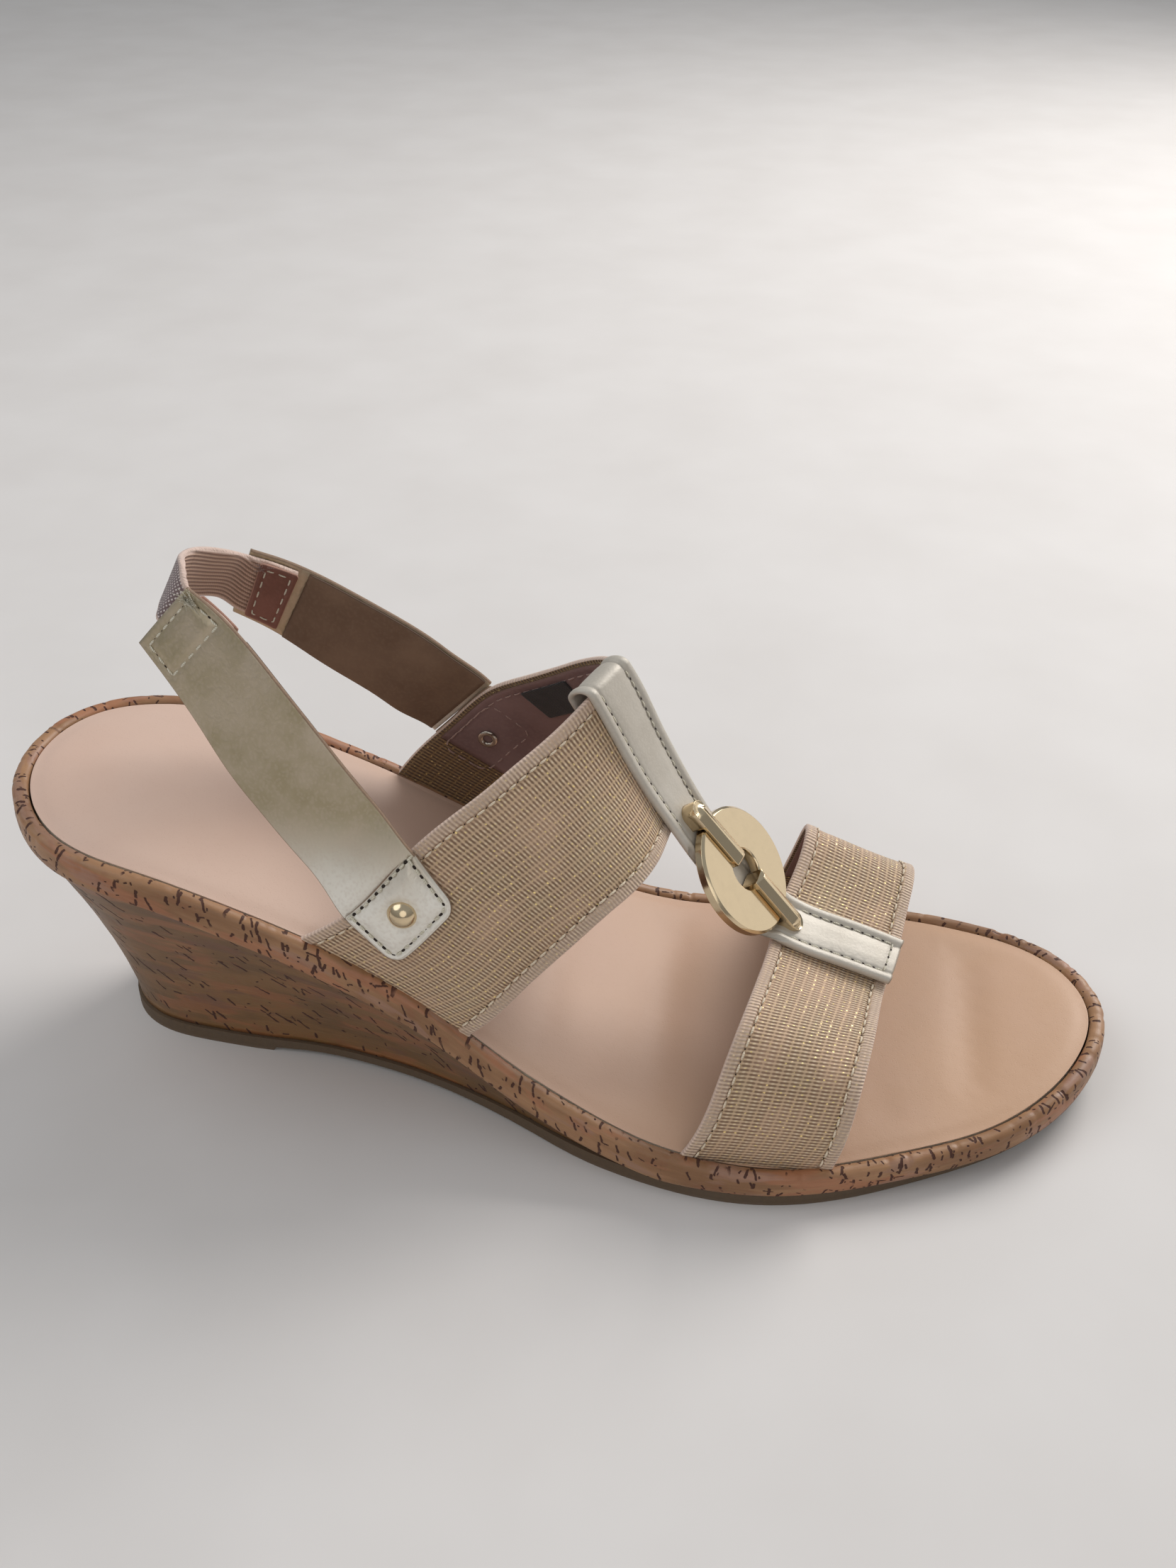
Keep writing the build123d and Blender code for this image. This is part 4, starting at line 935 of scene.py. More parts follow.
def make_thread(name, light, dark):
    """Twisted sewing thread."""
    mat = Mat(name)
    run, turn, _ = mat.sep(mat.uv())
    twist = (run + turn * 0.13).wave(0.42)
    colour = mat.mix(twist, dark, light)
    colour = mat.over(colour, mat.noise(mat.obj(), scale=1.5), dark, strength=0.25)
    return mat.surface(Base_Color=colour, Roughness=0.55, Sheen_Weight=0.3,
                       Normal=mat.bump(twist, mm=0.05))


# Needle holes are dark lenses laid on the surface, not cut; their near-black is painted shade.
def make_hole():
    mat = Mat("needle_hole_shade")
    speck = mat.noise(mat.obj(), scale=2.0)
    return mat.surface(Base_Color=mat.mix(speck, srgb(26, 18, 14), srgb(58, 44, 34)),
                       Roughness=0.9)


def make_rubber():
    """Brown rubber, dusty along the ground edge."""
    mat = Mat("outsole_rubber")
    place = mat.obj()
    z = mat.sep(place)[2]
    grain = mat.noise(place, scale=0.9, detail=4.0, rough=0.6)
    cloud = mat.noise(place, scale=0.06)
    dust = (z + grain * 1.2).ramp(lo=1.6, hi=0.4)
    colour = mat.mix(grain, srgb(82, 66, 50), srgb(108, 88, 66))
    colour = mat.over(colour, cloud.ramp(lo=0.4, hi=0.7), srgb(98, 82, 66), strength=0.4)
    colour = mat.over(colour, dust, srgb(128, 112, 98), strength=0.35)
    height = grain + mat.voronoi(place, 1.1) * 0.6
    return mat.surface(Base_Color=colour, Roughness=grain.scale_add(0.2, 0.62),
                       Normal=mat.bump(height, mm=0.08))


HEEL_RIB_PITCH = 1.05       # lengthwise ribs inside the heel elastic
HEEL_WEAVE_PITCH = 1.15     # diagonal weave outside
HEEL_WEAVE_SLANT = 0.62


def make_heel_elastic():
    """Dusty pink elastic: lengthwise ribs inside, a basket weave outside, pale edges."""
    mat = Mat("pink_elastic")
    run, cross, _ = mat.sep(mat.uv())
    face, side, edge = mat.attr("face"), mat.attr("side"), mat.attr("edge_mm")
    rib = cross.wave(HEEL_RIB_PITCH)
    stagger = mat.math("ROUND", cross / HEEL_RIB_PITCH)
    tick = (run + stagger * 0.3).wave(0.62)
    inner_colour = mat.mix(rib * 0.75 + tick * 0.2, srgb(134, 96, 78), srgb(230, 194, 168))
    diagonal = (run + cross * HEEL_WEAVE_SLANT).wave(HEEL_WEAVE_PITCH)
    counter = (cross - run * 0.25).wave(0.95)
    basket = diagonal.ramp(lo=0.30, hi=0.75) * counter.ramp(lo=0.25, hi=0.70)
    outer_colour = mat.mix(basket, srgb(96, 72, 72), srgb(222, 206, 200))
    inner = face.ramp(lo=0.6, hi=0.4)
    pale = mat.math("MAXIMUM", side.ramp(lo=0.3, hi=0.8), 1.0 - edge.ramp(lo=0.5, hi=1.1))
    fuzz = mat.noise(mat.uv(), scale=4.0, detail=3.0)
    colour = mat.mix(inner, outer_colour, inner_colour)
    colour = mat.over(colour, pale, srgb(228, 200, 184), strength=0.9)
    colour = mat.over(colour, fuzz, srgb(160, 124, 110), strength=0.2)
    height = mat.lerp(inner, basket, rib + tick * 0.3) + fuzz * 0.3
    return mat.surface(Base_Color=colour, Roughness=0.8, Sheen_Weight=0.3,
                       Normal=mat.bump(height, mm=0.22))


def make_label():
    mat = Mat("label_fabric")
    x, _, z = mat.sep(mat.obj())
    weave = (x + z).wave(0.5) * (x - z).wave(0.5)
    return mat.surface(Base_Color=mat.mix(weave, srgb(10, 9, 9), srgb(40, 37, 36)),
                       Roughness=0.55, Sheen_Weight=0.2, Normal=mat.bump(weave, mm=0.06))


def make_foam(name, dark, light, cell_scale):
    mat = Mat(name)
    place = mat.obj()
    cells = mat.voronoi(place, cell_scale)
    cloud = mat.noise(place, scale=0.2, detail=3.0)
    return mat.surface(Base_Color=mat.mix(cells * 0.8 + cloud * 0.3, dark, light),
                       Roughness=0.85, Normal=mat.bump(cells, mm=0.12))


def make_steel():
    """Steel brushed along x."""
    mat = Mat("shank_steel")
    hair = mat.noise(mat.vmath("MULTIPLY", mat.obj(), (0.25, 6.0, 6.0)), scale=1.0,
                     detail=4.0, rough=0.6)
    return mat.surface(Base_Color=mat.mix(hair, srgb(120, 122, 126), srgb(186, 188, 192)),
                       Metallic=1.0, Roughness=hair.scale_add(0.25, 0.22),
                       Normal=mat.bump(hair, mm=0.02))


ELASTIC = make_elastic()
SILVER = make_leather(
    "silver_leather", base=srgb(197, 189, 176), light=srgb(209, 201, 189),
    dark=srgb(180, 170, 155), cut_edge=srgb(190, 170, 150), metallic=0.26, rough=0.52,
    grain=0.60)
# The olive leather's near-white low colour is a painted reflection of light on the tabs and the
# straps' low ends.
OLIVE = make_leather(
    "olive_leather", base=srgb(184, 170, 142), light=srgb(206, 190, 172),
    dark=srgb(158, 145, 112), cut_edge=srgb(158, 130, 106), metallic=0.78, rough=0.38,
    grain=0.75, bump=0.11, blotch=16.0, low_reflection_colour=srgb(246, 240, 228))
LINING = make_leather(
    "lining_leather", base=srgb(128, 100, 96), light=srgb(144, 116, 112),
    dark=srgb(104, 80, 77), cut_edge=srgb(120, 88, 76))
SLING_LINING = make_leather(
    "sling_lining", base=srgb(122, 96, 76), light=srgb(138, 112, 90),
    dark=srgb(98, 74, 56), cut_edge=srgb(100, 74, 56), rough=0.6)
PATCH = make_leather(
    "patch_leather", base=srgb(122, 76, 62), light=srgb(140, 90, 76),
    dark=srgb(96, 58, 46), cut_edge=srgb(196, 150, 130), grain=0.7)
CORK_RIM, CORK_WALL = make_cork("cork_rim"), make_cork("shaded_cork_wall")
SOCK_MAT = make_sock()
GOLD = make_metal("gold_metal", srgb(224, 203, 168), rough=0.14)
THREADS = {shade: make_thread("thread_" + shade, light, dark) for shade, light, dark in (
    ("cream", srgb(248, 232, 208), srgb(214, 192, 160)),
    ("olive", srgb(170, 164, 138), srgb(92, 84, 64)),
    ("pale", srgb(240, 234, 214), srgb(190, 180, 156)),
    ("mauve", srgb(190, 158, 146), srgb(136, 104, 94)))}
HOLE_SHADE = make_hole()
RUBBER = make_rubber()
HEEL_ELASTIC = make_heel_elastic()
LABEL = make_label()
FOAM = make_foam("foam", srgb(226, 214, 190), srgb(250, 240, 220), cell_scale=1.3)
EVA = make_foam("eva_core", srgb(188, 162, 124), srgb(214, 190, 150), cell_scale=0.7)
BOARD = make_foam("fibreboard", srgb(140, 112, 84), srgb(172, 142, 110), cell_scale=2.2)
STEEL = make_steel()
NICKEL = make_metal("nickel_tube", srgb(186, 176, 164), rough=0.22)

CAD_MATERIALS = (
    (RUBBER, ("outsole",)),
    (EVA, ("wedge_core", "bottom_filler")),
    (STEEL, ("shank", "shank_rivets", "heel_screw", "heel_nails")),
    (BOARD, ("insole_board",)),
    (FOAM, ("footbed_foam",)),
    (GOLD, ("ornament_ring", "ornament_bar_upper", "ornament_bar_lower",
            "ornament_backing_washers", "stud_lateral", "stud_medial", "stud_tubes")))
for mat, node_names in CAD_MATERIALS:
    for node_name in node_names:
        node = NODES[node_name]
        if not node.material_slots:
            node.data.materials.append(mat)
        for slot in node.material_slots:
            slot.material = mat


# ---------------------------------------------------------------- footbed cover
COVER_SWELL = 1.9       # greatest rise of the padding
COVER_CLOTH = dict(
    quality=6, mass=0.15, tension_stiffness=12.0, compression_stiffness=12.0,
    shear_stiffness=8.0, bending_stiffness=0.6, use_pressure=True,
    uniform_pressure_force=4.0, vertex_group_mass="pin")
CLOTH_FRAMES = 20
# Where the bands enter the footbed's edge: x, y, half length.
BAND_DIPS = ((87, -36.5, 19), (167, -46.5, 18), (91, 31.0, 19), (179, 41.5, 15))


def inside(points, poly):
    start, end = poly, np.roll(poly, -1, 0)
    level = points[:, None, 1]
    crosses = (start[None, :, 1] > level) != (end[None, :, 1] > level)
    with np.errstate(divide="ignore", invalid="ignore"):
        hit = ((end[:, 0] - start[:, 0])[None] * (level - start[None, :, 1])
               / (end[:, 1] - start[:, 1])[None] + start[None, :, 0])
    return (crosses & (points[:, None, 0] < hit)).sum(1) % 2 == 1


def triangle_grid(step=4.2):
    """Points inside the footbed on a triangular grid."""
    grid, row, y = [], 0, -46.0
    while y < 42.0:
        x = 2.0 + (step / 2 if row % 2 else 0.0)
        while x < 242:
            grid.append((x, y))
            x += step
        y += step * math.sqrt(3) / 2
        row += 1
    grid = np.array(grid)
    return grid[inside(grid, outline(SOCK, -8.6, 160))]


def inflate(ob, count, margin):
    """Blows the top face up as cloth, pinned at its edge and all below; returns the moves."""
    rest = np.array([vert.co for vert in ob.data.vertices], float)
    pin = ob.vertex_groups.new(name="pin")
    pin.add([i for i in range(2 * count) if i >= count or margin[i] < 0.8], 1.0, "REPLACE")
    cloth = ob.modifiers.new("cloth", "CLOTH")
    for key, value in COVER_CLOTH.items():
        setattr(cloth.settings, key, value)
    cloth.settings.effector_weights.gravity = 0.0
    cloth.collision_settings.use_collision = False
    cloth.point_cache.frame_start, cloth.point_cache.frame_end = 1, CLOTH_FRAMES
    scene = bpy.context.scene
    for i in range(1, CLOTH_FRAMES + 1):
        scene.frame_set(i)
    result = ob.evaluated_get(bpy.context.evaluated_depsgraph_get())
    moved = np.array([vert.co for vert in result.data.vertices], float)
    ob.modifiers.remove(cloth)
    ob.vertex_groups.clear()
    scene.frame_set(1)
    return moved - rest


def footbed_cover():
    """Padded leather cover: a triangulated sheet, swollen by a cloth simulation."""
    rings = [outline(SOCK, grow, count) for grow, count in (
        (-0.02, 190), (-0.45, 190), (-1.6, 176), (-3.4, 160), (-6.0, 140))]
    flat_points = np.vstack(rings + [triangle_grid()])
    rim = len(rings[0])
    edges = [(i, (i + 1) % rim) for i in range(rim)]
    cut = delaunay_2d_cdt([Vector(point) for point in flat_points], edges, [], 1, 1e-4)
    plan = np.array([list(point) for point in cut[0]], float)
    triangles = [tuple(face) for face in cut[2]]
    margin = edge_distance(plan, outline(SOCK, -0.02, 400))
    base = edge_z(plan[:, 0])
    count = len(plan)
    points = np.vstack([np.c_[plan, base - 0.30 + 0.95 * smooth(0.0, 5.0, margin)],
                        np.c_[plan, base - 0.42]])
    faces = triangles + [tuple(i + count for i in face[::-1]) for face in triangles]
    # walls along the edges that belong to one triangle only
    uses = {}
    for face in triangles:
        for k in range(3):
            edge = (face[k], face[(k + 1) % 3])
            uses.setdefault(tuple(sorted(edge)), []).append(edge)
    for found in uses.values():
        if len(found) == 1:
            i, j = found[0]
            faces.append((j, i, i + count, j + count))
    ob = mesh_object("footbed_cover", points, faces, SOCK_MAT)
    rest = np.array([vert.co for vert in ob.data.vertices], float)
    shape = rest.copy()
    rise = np.clip(inflate(ob, count, margin)[:, 2] * 1000, 0, None)
    shape[:, 2] += COVER_SWELL * np.tanh(rise / COVER_SWELL) / 1000.0
    # the cover is pulled down where the bands go into the footbed's edge
    place = rest * 1000 + np.array([HEEL_PAD_X, 0, 0])
    for x, y, reach in BAND_DIPS:
        dip = bell(place[:, 0], x, reach, power=4) * bell(place[:, 1], y, 7.0)
        shape[:count, 2] -= 0.5 * dip[:count] / 1000.0
    ob.data.vertices.foreach_set("co", shape.astype(np.float32).ravel())
    ob.data.update()
    subdivision = ob.modifiers.new("smooth", "SUBSURF")
    subdivision.levels = subdivision.render_levels = 2
    register(ob, replaces="sock_lining")


footbed_cover()


# ---------------------------------------------------------------- cork rim
RIM_ROLL_R = 1.72       # radius of the rolled top
RIM_ROLL_DROP = 1.25    # its centre, below the top
RIM_CREASE = 0.25       # gap to the footbed's edge


def cork_rim():
    """Rolled cork edge round the footbed, with wrinkles and creases in the roll."""
    count = 1100
    base = outline(SOCK, 0.0, count)
    stops = run_length(close(base))
    total, run = stops[-1], stops[:-1]
    normal = unit(outline(SOCK, 1.0, count) - base)
    top = edge_z(base[:, 0]) + 0.25
    bottom = rim_z(base[:, 0]) + 0.02
    height = top - bottom
    wrinkle = 0.10 * noise1(run / 9.0, 1.0) + 0.07 * noise1(run / 3.1, 2.0)
    crease = np.zeros(count)
    rng = np.random.RandomState(7)
    for centre in rng.uniform(0, total, 95):
        width = rng.uniform(0.35, 0.8)
        depth = rng.uniform(0.12, 0.42)
        crease += depth * bell(np.abs((run - centre + total / 2) % total - total / 2), 0, width)
    outs, heights = [], []
    # the roll, from the crease at the footbed over to the outer wall
    for degrees in np.linspace(200, -8, 20):
        cos, sin = math.cos(math.radians(degrees)), math.sin(math.radians(degrees))
        outs.append(RIM_CREASE + RIM_ROLL_R + cos * (RIM_ROLL_R + 0.02)
                    + (wrinkle * 0.8 - crease * 0.55) * max(cos, 0))
        heights.append(top - RIM_ROLL_DROP + sin * 1.45
                       + (wrinkle - crease * 0.7) * max(sin, 0))
    for part in np.linspace(0.10, 0.94, 15):
        bulge = 0.05 + 0.16 * math.sin(math.pi * part) - 0.25 * part ** 4
        outs.append(RIM_CREASE + 2 * RIM_ROLL_R + bulge + wrinkle * 0.5 * (1 - part)
                    - crease * 0.35 * (1 - part) ** 1.5)
        heights.append(top - RIM_ROLL_DROP - 0.2 - (height - RIM_ROLL_DROP - 0.2) * part)
    # the foot and the inner wall: out, share of the height
    for out, part in ((3.15, 0), (2.2, 0), (0.7, 0), (0.45, 0.35), (0.4, 0.75)):
        outs.append(np.full(count, out))
        heights.append(bottom + (height - 1.4) * part)
    outs, heights = np.stack(outs, -1), np.stack(heights, -1)
    size = outs.shape[1]
    column = np.arange(size)[None, :]
    outs += 0.035 * noise2(run[:, None] / 1.2, column * 0.9, 5.0) * (column < 34)
    points = np.zeros((count, size, 3))
    points[:, :, :2] = base[:, None] + normal[:, None] * outs[..., None]
    points[:, :, 2] = heights
    girth = run_length(points[count // 4])
    uv = np.stack(np.broadcast_arrays(run[:, None], girth[None, :]), -1)
    ob = mesh_object("cork_rim", points, tube_faces(count, size, closed=True), CORK_RIM, uv,
                     {"side": np.zeros(count * size)})
    register(ob, replaces="platform_cork_rim")


cork_rim()


# ---------------------------------------------------------------- cork wrap on the wedge
def wall_points(inset, stations, parts, front_x):
    """The wedge's wall from front_x on the lateral side (station -1) round the back (0) to
    front_x on the medial side (1); parts go from the outsole up to the rim."""
    low = outline(OUTSOLE, -0.7 - inset, 800)
    high = outline(SOCK, 2.3 - inset, 800)

    def side_y(curve, sign, x):
        half = curve[np.sign(curve[:, 1] + 2.0) == sign]
        half = half[np.argsort(half[:, 0])]
        return float(np.interp(x, half[:, 0], half[:, 1]))
    back_low, back_high = low[:, 0].min(), high[:, 0].min()
    points = np.zeros((len(stations), len(parts), 3))
    for i, station in enumerate(stations):
        sign = -1 if station < 0 else 1
        reach = abs(station) ** 1.9
        x_low = back_low + (front_x - back_low) * reach
        x_high = back_high + (front_x - back_high) * reach
        if abs(station) < 1e-9:
            foot, head = np.array([back_low, -1.0]), np.array([back_high, -4.0])
        else:
            foot = np.array([x_low, side_y(low, sign, x_low)])
            head = np.array([x_high, side_y(high, sign, x_high)])
        top = float(rim_z(head[0]))
        lean = parts * ((top - OUTSOLE_T) / max(top - OUTSOLE_T, 7.0))
        points[i, :, :2] = foot + (head - foot) * (lean ** 1.35)[:, None]
        points[i, :, 2] = OUTSOLE_T + 0.12 + (top - 0.06 - OUTSOLE_T - 0.12) * parts
    return points


def smooth_back(points):
    """Smooths the back, where the two sides meet."""
    kernel = np.array([1, 3, 5, 6, 5, 3, 1], float)
    kernel /= kernel.sum()
    middle = len(points) // 2
    rough = points[middle - 22:middle + 23].copy()
    for i in range(3, len(rough) - 3):
        points[middle - 22 + i] = (rough[i - 3:i + 4] * kernel[:, None, None]).sum(0)


def cork_wrap():
    """Cork sheet round the wedge, slightly uneven and scored with short cuts."""
    stations, parts = np.linspace(-1, 1, 361), np.linspace(0, 1, 40)
    outer = wall_points(0.0, stations, parts, front_x=147.0)
    inner = wall_points(WRAP_T, stations, parts, front_x=146.2)
    for points in (outer, inner):
        smooth_back(points)
    outward = unit(outer - inner)
    run = run_length(outer[:, 20])[:, None]
    height = outer[:, :, 2]
    uneven = (0.07 * noise2(run / 7.0, height / 5.0, 2.0)
              + 0.03 * noise2(run / 1.7, height / 1.6, 4.0))
    rng = np.random.RandomState(21)
    cut = np.zeros_like(height)
    for _ in range(420):
        centre_run, centre_z = rng.uniform(0, run[-1, 0]), rng.uniform(4, 60)
        length, width = rng.uniform(1.2, 3.4), rng.uniform(0.28, 0.5)
        tilt = rng.uniform(-0.5, 0.5)
        rise = height - centre_z
        aside = run - centre_run + rise * tilt
        cut += bell(aside, 0, width) * bell(rise, 0, length, power=4) * rng.uniform(0.08, 0.16)
    outer = outer + outward * (uneven - np.clip(cut, 0, 0.3))[..., None]
    loop = np.concatenate([outer, inner[:, ::-1]], axis=1)
    height = loop[:, :, 2]
    uv = np.stack([np.broadcast_to(run, height.shape), height], -1)
    ob = mesh_object("cork_wrap", loop, tube_faces(*height.shape), CORK_WALL, uv,
                     {"side": np.zeros(height.size)})
    register(ob, replaces="wedge_cork_wrap")


cork_wrap()

# ---------------------------------------------------------------- vamp bands
instep = Ribbon(INSTEP_REAR, INSTEP_FRONT, (105, 0, 45))
toe = Ribbon(TOE_REAR, TOE_FRONT, (178, -2, 15))
t_strip = Ribbon(T_LATERAL, T_MEDIAL, (140, 0, 40))
HEM_ROW = 3.05      # hem stitches, from the band's edge


def elastic_top(seed):
    """Outer face of an elastic band: turned hems, puckers, ribs and soft waves."""
    def top(run, cross, width):
        edge = np.minimum(cross, width - cross)
        hem = 0.34 * (1 - smooth(2.35, 2.95, edge)) * smooth(-0.6, 0.7, edge)
        pucker = 0.10 * np.cos(2 * np.pi * run / 3.25) * bell(edge, 2.9, 1.0)
        groove = -0.16 * bell(edge, 3.1, 0.35)
        ribs = 0.010 * np.cos(2 * np.pi * cross / 3.36) * smooth(3.4, 4.4, edge)
        wave = (0.10 * noise2(run / 11.0, cross / 9.0, seed)
                + 0.05 * noise2(run / 3.7, cross / 6.0, seed + 3))
        edge_wave = 0.10 * noise1(run / 5.0, seed + 5) * bell(edge, 0, 2.0)
        return hem + pucker + groove + ribs + wave + edge_wave
    return top


def elastic_band(name, rib, seed, node_name):
    alongs = np.linspace(0, 1, int(rib.length / 0.42))
    ob = band_mesh(name, rib, alongs, ELASTIC_T, ELASTIC, edge=0.42, n_out=104, n_in=26,
                   outer=elastic_top(seed))
    # both end caps are carried straight down into the crease between footbed and rim
    size = len(ob.data.vertices) // len(alongs)
    bm = bmesh.new()
    bm.from_mesh(ob.data)
    bm.verts.ensure_lookup_table()
    for first in (0, (len(alongs) - 1) * size):
        ring = set(range(first, first + size))
        cap = [face for face in bm.faces if all(vert.index in ring for vert in face.verts)]
        for item in bmesh.ops.extrude_face_region(bm, geom=cap)["geom"]:
            if isinstance(item, bmesh.types.BMVert):
                item.co.z -= BAND_DROP
        bmesh.ops.delete(bm, geom=cap, context="FACES_ONLY")
        bm.verts.ensure_lookup_table()
    bmesh.ops.recalc_face_normals(bm, faces=bm.faces)
    bm.to_mesh(ob.data)
    bm.free()
    register(ob, replaces=node_name)


def hem_stitches(name, rib, start, end, covered_across):
    """Rows along both hems, left out where the T strip covers the band."""
    alongs = np.linspace(0.2, 0.8, 400)
    strip = t_strip.at(np.linspace(0, 1, 200), 0.5)
    gaps = np.linalg.norm(rib.at(alongs, covered_across)[:, None] - strip[None], axis=-1)
    covered = alongs[gaps.min(1) < 8.0]
    alongs = np.linspace(start, end, 260)
    parts = [alongs[alongs < covered.min()], alongs[alongs > covered.max()]]
    ob = stitches(name, edge_rows(rib, parts, HEM_ROW, 0.02), THREADS["cream"], radius=0.25,
                  length=1.9, gap=0.85, lift=0.22, hole_radius=0.17)
    register(ob)


def band_lining(name, rib, start, end, node_name):
    level = -ELASTIC_T - LAYER_GAP
    length = rib.run(end) - rib.run(start)

    def inner(run, cross, width):
        edge = np.minimum(cross, width - cross)
        return (0.06 * noise2(run / 8.0, cross / 6.0, 3.0) + 0.16 * bell(edge, 1.9, 0.5)
                + level)
    ob = band_mesh(name, rib, np.linspace(start, end, int(length / 1.2)), LINING_T, LINING,
                   edge=0.25, n_out=24, n_in=60, outer=flat(level), inner=inner,
                   span=(0.03, 0.97))
    register(ob, replaces=node_name)


elastic_band("instep_band", instep, 1.0, "instep_band_elastic")
elastic_band("toe_band", toe, 8.0, "toe_band_elastic")
hem_stitches("instep_hem_stitches", instep, 0.01, 0.99, covered_across=0.08)
hem_stitches("toe_hem_stitches", toe, 0.02, 0.98, covered_across=0.5)
band_lining("instep_lining", instep, 0.095, 0.905, "instep_band_lining")
band_lining("toe_lining", toe, 0.10, 0.90, "toe_band_lining")

# Each side's strap edges, stud, how far its tab runs past the stud, the tab's lean, and
# how far across the strap the heel elastic's lower edge lies.
SIDES = {
    "lateral": dict(rear=SLING_LAT_REAR, front=SLING_LAT_FRONT, stud=(91.8, -34.0, 59.0),
                    past_stud=7.6, lean=-0.27, elastic_low=0.34),
    "medial": dict(rear=SLING_MED_REAR, front=SLING_MED_FRONT, stud=(96.3, 31.0, 60.4),
                   past_stud=6.9, lean=0.29, elastic_low=0.12)}
ELASTIC_HIGH = 0.96
STUD_SPOTS = {side: Spot(instep, spec["stud"]) for side, spec in SIDES.items()}


def lining_stitches():
    """Rows inside the instep band: along both edges, and a box round each stud."""
    out = LINING_FACE - 0.02
    paths = [inside_out(path)
             for path in edge_rows(instep, [np.linspace(0.10, 0.90, 260)], HEM_ROW, out)]
    for spot in STUD_SPOTS.values():
        box = close(rounded_rect(19.0, 13.4, 3.0))
        across = np.clip(spot.across + box[:, 1] * spot.across_mm * 0.92, 0.035, 0.96)
        path = ribbon_path(instep, spot.along + box[:, 0] * spot.along_mm, across, out)
        paths.append(inside_out(path))
    ob = stitches("instep_lining_stitches", paths, THREADS["mauve"], radius=0.2, length=2.1,
                  gap=0.9, lift=0.04)
    register(ob)


def size_label():
    """Plain cloth label inside the instep band, on the medial side."""
    spot = Spot(instep, (111.5, 21.5, 80.0))
    thick = 0.36

    def surface(x, y, out):
        return instep.at(spot.along + x * spot.along_mm,
                         spot.across + 0.10 + y * spot.across_mm, LINING_FACE - 0.12 - out)

    def top(points, margin):
        return thick + 0.05 * noise2(points[:, 0] / 2.5, points[:, 1] / 2.5, 2.0)
    ob = patch_mesh("size_label_cloth", rounded_rect(15.0, 9.0, 0.4), surface, top, thick,
                    LABEL)
    register(ob, replaces="size_label")


lining_stitches()
size_label()

# ---------------------------------------------------------------- ornament on the T strip
RING_R, RING_HOLE_R = 14.6, 4.7
RING_LOW = 1.35                 # underside, above the ornament's origin
RING_HIGH = RING_LOW + 2.4
BAR_HALF_WIDTH = 2.3
BAR_INNER_X = 2.9
ORNAMENT_AT = np.array([157.22, -0.253, 50.19])
# The ornament's own axes: x towards the toe, z off the strip.
ORNAMENT_Z = unit(np.array([0.752289, -0.227842, 0.618182]))
ORNAMENT_X = np.array([0.63861, -0.0136, -0.76941])
ORNAMENT_X = unit(ORNAMENT_X - ORNAMENT_Z * (ORNAMENT_X @ ORNAMENT_Z))
ORNAMENT_Y = np.cross(ORNAMENT_Z, ORNAMENT_X)


def on_ornament(x, y, z):
    x, y, z = [np.asarray(value, float)[..., None] for value in np.broadcast_arrays(x, y, z)]
    return ORNAMENT_AT + x * ORNAMENT_X + y * ORNAMENT_Y + z * ORNAMENT_Z


def ornament_ring():
    """Turned ring with a chamfered outer edge and a small chamfer at the hole."""
    low, high = RING_LOW, RING_HIGH
    profile = [     # radius, height
        (RING_HOLE_R, low + 0.05), (RING_HOLE_R, high - 0.30), (4.72, high - 0.26),
        (4.96, high - 0.03), (5.00, high), (5.06, high), (9.0, high), (13.96, high),
        (14.02, high), (14.06, high - 0.03), (14.56, high - 0.50), (RING_R, high - 0.55),
        (RING_R, high - 0.62), (RING_R, low + 0.26), (RING_R, low + 0.20),
        (14.57, low + 0.15), (14.44, low + 0.02), (14.38, low), (9.0, low), (4.8, low),
        (4.75, low)]
    count = 200
    angle = np.linspace(0, 2 * np.pi, count, endpoint=False)[:, None]
    radius, height = np.array(profile).T
    points = on_ornament(radius * np.cos(angle), radius * np.sin(angle), height + 0 * angle)
    ob = mesh_object("ornament_ring_turned", points,
                     tube_faces(count, len(profile), closed=True), GOLD)
    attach(ob, "ring")
    register(ob, replaces="ornament_ring", body=None)


